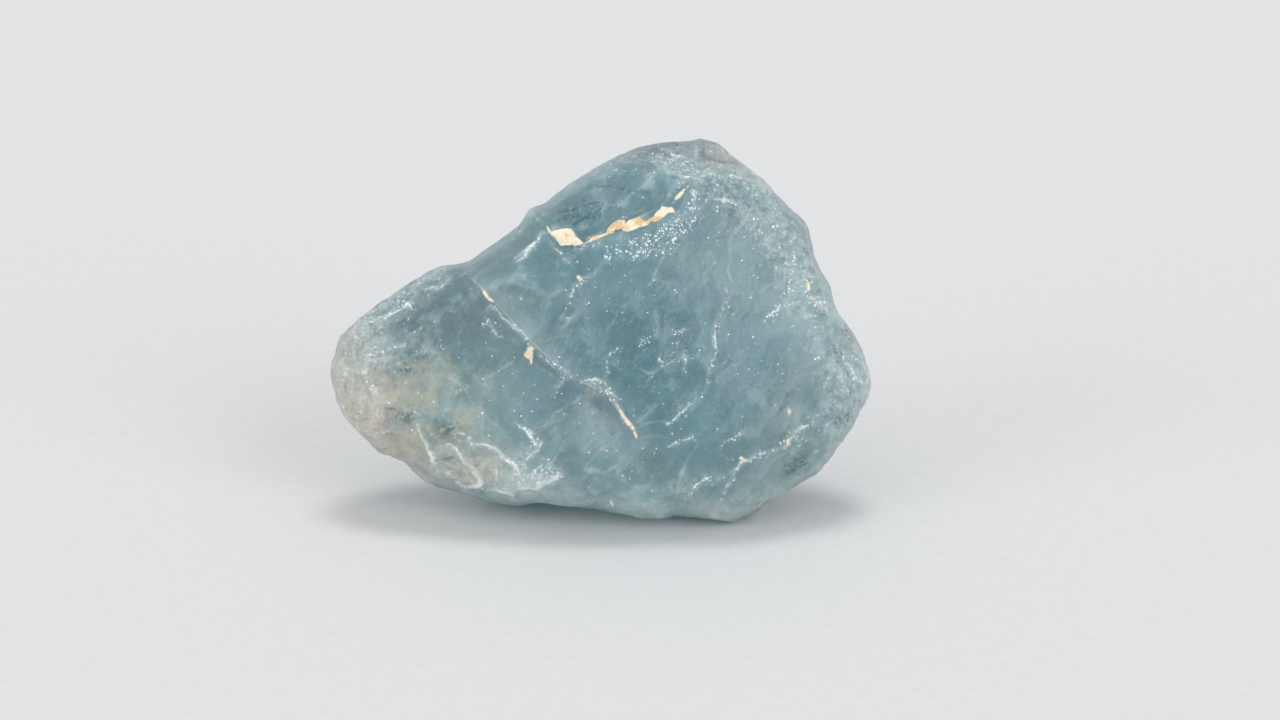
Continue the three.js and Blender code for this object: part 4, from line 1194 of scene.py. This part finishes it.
def facing_along(thing, way):
    """Turns a lamp or camera to look this way, with its top up."""
    thing.rotation_euler = way.to_track_quat("-Z", "Y").to_euler()


def add_sky(strength):
    """An even sky of this strength."""
    world = bpy.data.worlds.new("soft_sky")
    world.use_nodes = True
    background = world.node_tree.nodes["Background"]
    background.inputs["Color"].default_value = rgba(SKY_COLOUR)
    background.inputs["Strength"].default_value = strength
    return world


def add_lamps(stage):
    """Soft suns, all pointing at the stone."""
    for name, (place, spread, setting, share) in LAMPS.items():
        lamp = bpy.data.lights.new(name, "SUN")
        lamp.angle, lamp.energy = spread, share * getattr(stage, setting)
        light = linked(bpy.data.objects.new(name, lamp))
        light.location = place
        facing_along(light, STONE_MIDDLE - light.location)


def add_camera(stage):
    """A camera at the stage's distance from what it aims at, straight in front and raised by its angle."""
    lens = bpy.data.cameras.new("camera")
    lens.lens, lens.sensor_width, lens.clip_start = stage.lens, SENSOR_WIDTH, 10.0 * MM
    camera = linked(bpy.data.objects.new("camera", lens))
    back = Vector((0.0, -math.cos(stage.elevation), math.sin(stage.elevation)))
    camera.location = CAMERA_AIM + back * stage.distance
    facing_along(camera, -back)
    return camera


# ---------------------------------------------------------------- settings, operators and panel


def linear(red, green, blue):
    """A screen colour, 0 to 255, as a linear colour: ((c + 0.055) / 1.055)^2.4."""
    return tuple(((c / 255 + 0.055) / 1.055) ** 2.4 for c in (red, green, blue))


def colour_setting(name, description, default):
    return FloatVectorProperty(
        name=name, description=description, default=default, size=3, min=0.0, max=1.0, subtype="COLOR"
    )


def number_setting(name, description, default, low=0.0, **more):
    return FloatProperty(name=name, description=description, default=default, min=low, **more)


def share_setting(name, description, default, low=0.0):
    return number_setting(name, description, default, low, max=1.0, subtype="FACTOR")


class TopazStoneSettings(bpy.types.PropertyGroup):
    """Colours and finish of the stone."""

    deep: colour_setting("Deep", "The stone's blue where it is thick", linear(97, 146, 156))
    body: colour_setting("Body", "The stone's blue over most of it", linear(131, 168, 173))
    pale: colour_setting("Pale", "The stone near its ends and its foot", linear(200, 219, 218))
    bone: colour_setting("Bone", "The warm off-white of the tapered end", linear(214, 206, 190))
    slate: colour_setting("Slate", "The greyer shoulder beside the crease", linear(120, 147, 151))
    honey: colour_setting("Honey", "The faint yellow stain", linear(218, 213, 184))
    rose: colour_setting("Rose", "The faint pink stain", linear(236, 212, 186))
    frost: colour_setting("Frost", "Worn and frosted places", linear(224, 226, 221))
    crack: colour_setting("Crack", "Healed cracks and chips", linear(236, 241, 240))
    fleck: colour_setting("Fleck", "Dark flecks and scratches", linear(58, 98, 106))
    limonite: colour_setting("Limonite", "The cream crust in the seam", linear(228, 217, 192))
    rust: colour_setting("Rust", "The crust where it thins out", linear(208, 172, 124))
    absorbs_to: colour_setting("Absorbs to", "The blue that light takes on inside", (0.42, 0.74, 0.82))
    absorption: number_setting("Absorption", "How fast light takes on that blue, per metre", 32.0)
    cloudiness: share_setting("Cloudiness", "Share of light scattered under the surface", 1.0)
    glow_reach: number_setting(
        "Glow reach", "How far light spreads under the surface", 7.0 * MM, unit="LENGTH"
    )
    clarity: share_setting("Clarity", "Share of light that passes through the stone", 0.58)
    roughness: share_setting("Roughness", "How waxy the worn surface is", 0.36, 0.1)


class TopazStageSettings(bpy.types.PropertyGroup):
    """The floor, the lights and the camera."""

    floor: colour_setting("Floor", "Colour of the plain floor", (0.68, 0.68, 0.67))
    sky: number_setting("Sky", "Strength of the light from all round", 0.68)
    key: number_setting("Key", "Soft light above the stone, in W/m2", 0.94)
    fill: number_setting("Fill", "Soft light from the front, in W/m2", 1.06)
    lens: number_setting("Lens", "Focal length in millimetres", 100.0, 20.0)
    distance: number_setting("Distance", "From the camera to the stone", 0.3556, 0.05, unit="LENGTH")
    elevation: number_setting(
        "Elevation", "How far the camera looks down", math.radians(17.0), -TAU / 4.0, subtype="ANGLE"
    )


class TOPAZ_OT_add_stone(bpy.types.Operator):
    """Build the topaz and give it its material"""

    bl_idname = "topaz.add_stone"
    bl_label = "Add Stone"

    def execute(self, context):
        points, quads, marks = stone_mesh()
        stone = mesh_object("topaz_stone", points, quads)
        if len(stone.data.vertices) != len(points):
            raise RuntimeError("the stone's mesh lost corners when it was checked")
        write_marks(stone.data, marks)
        stone.data.materials.append(topaz_material(context.scene.topaz_stone))
        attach(stone, "root")
        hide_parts(NODE)
        return {"FINISHED"}


class TOPAZ_OT_add_stage(bpy.types.Operator):
    """Build the floor, the lights and the camera"""

    bl_idname = "topaz.add_stage"
    bl_label = "Add Stage"

    def execute(self, context):
        scene, stage = context.scene, context.scene.topaz_stage
        corners = FLOOR_HALF * np.array([(-1, -1, 0), (1, -1, 0), (1, 1, 0), (-1, 1, 0)])
        floor = mesh_object("floor", corners, np.array([[0, 1, 2, 3]]))
        floor.data.materials.append(floor_material(stage.floor))
        scene.world = add_sky(stage.sky)
        add_lamps(stage)
        scene.camera = add_camera(stage)
        scene.view_settings.view_transform = "Standard"
        return {"FINISHED"}


class TOPAZ_PT_panel(bpy.types.Panel):
    """Lists the settings of the stone and of the stage, each with the button that builds it"""

    bl_label = "Topaz Crystal"
    bl_idname = "TOPAZ_PT_panel"
    bl_space_type = "VIEW_3D"
    bl_region_type = "UI"
    bl_category = "Topaz"

    def draw(self, context):
        for group, operator in (("topaz_stone", "topaz.add_stone"), ("topaz_stage", "topaz.add_stage")):
            settings = getattr(context.scene, group)
            box = self.layout.box()
            for name in settings.__annotations__:
                box.prop(settings, name)
            box.operator(operator)


CLASSES = (TopazStoneSettings, TopazStageSettings, TOPAZ_OT_add_stone, TOPAZ_OT_add_stage, TOPAZ_PT_panel)


def register():
    for kind in CLASSES:
        bpy.utils.register_class(kind)
    bpy.types.Scene.topaz_stone = PointerProperty(type=TopazStoneSettings)
    bpy.types.Scene.topaz_stage = PointerProperty(type=TopazStageSettings)


def unregister():
    del bpy.types.Scene.topaz_stage
    del bpy.types.Scene.topaz_stone
    for kind in reversed(CLASSES):
        bpy.utils.unregister_class(kind)


def main():
    register()
    bpy.ops.topaz.add_stage()
    bpy.ops.topaz.add_stone()


if __name__ == "__main__":
    main()
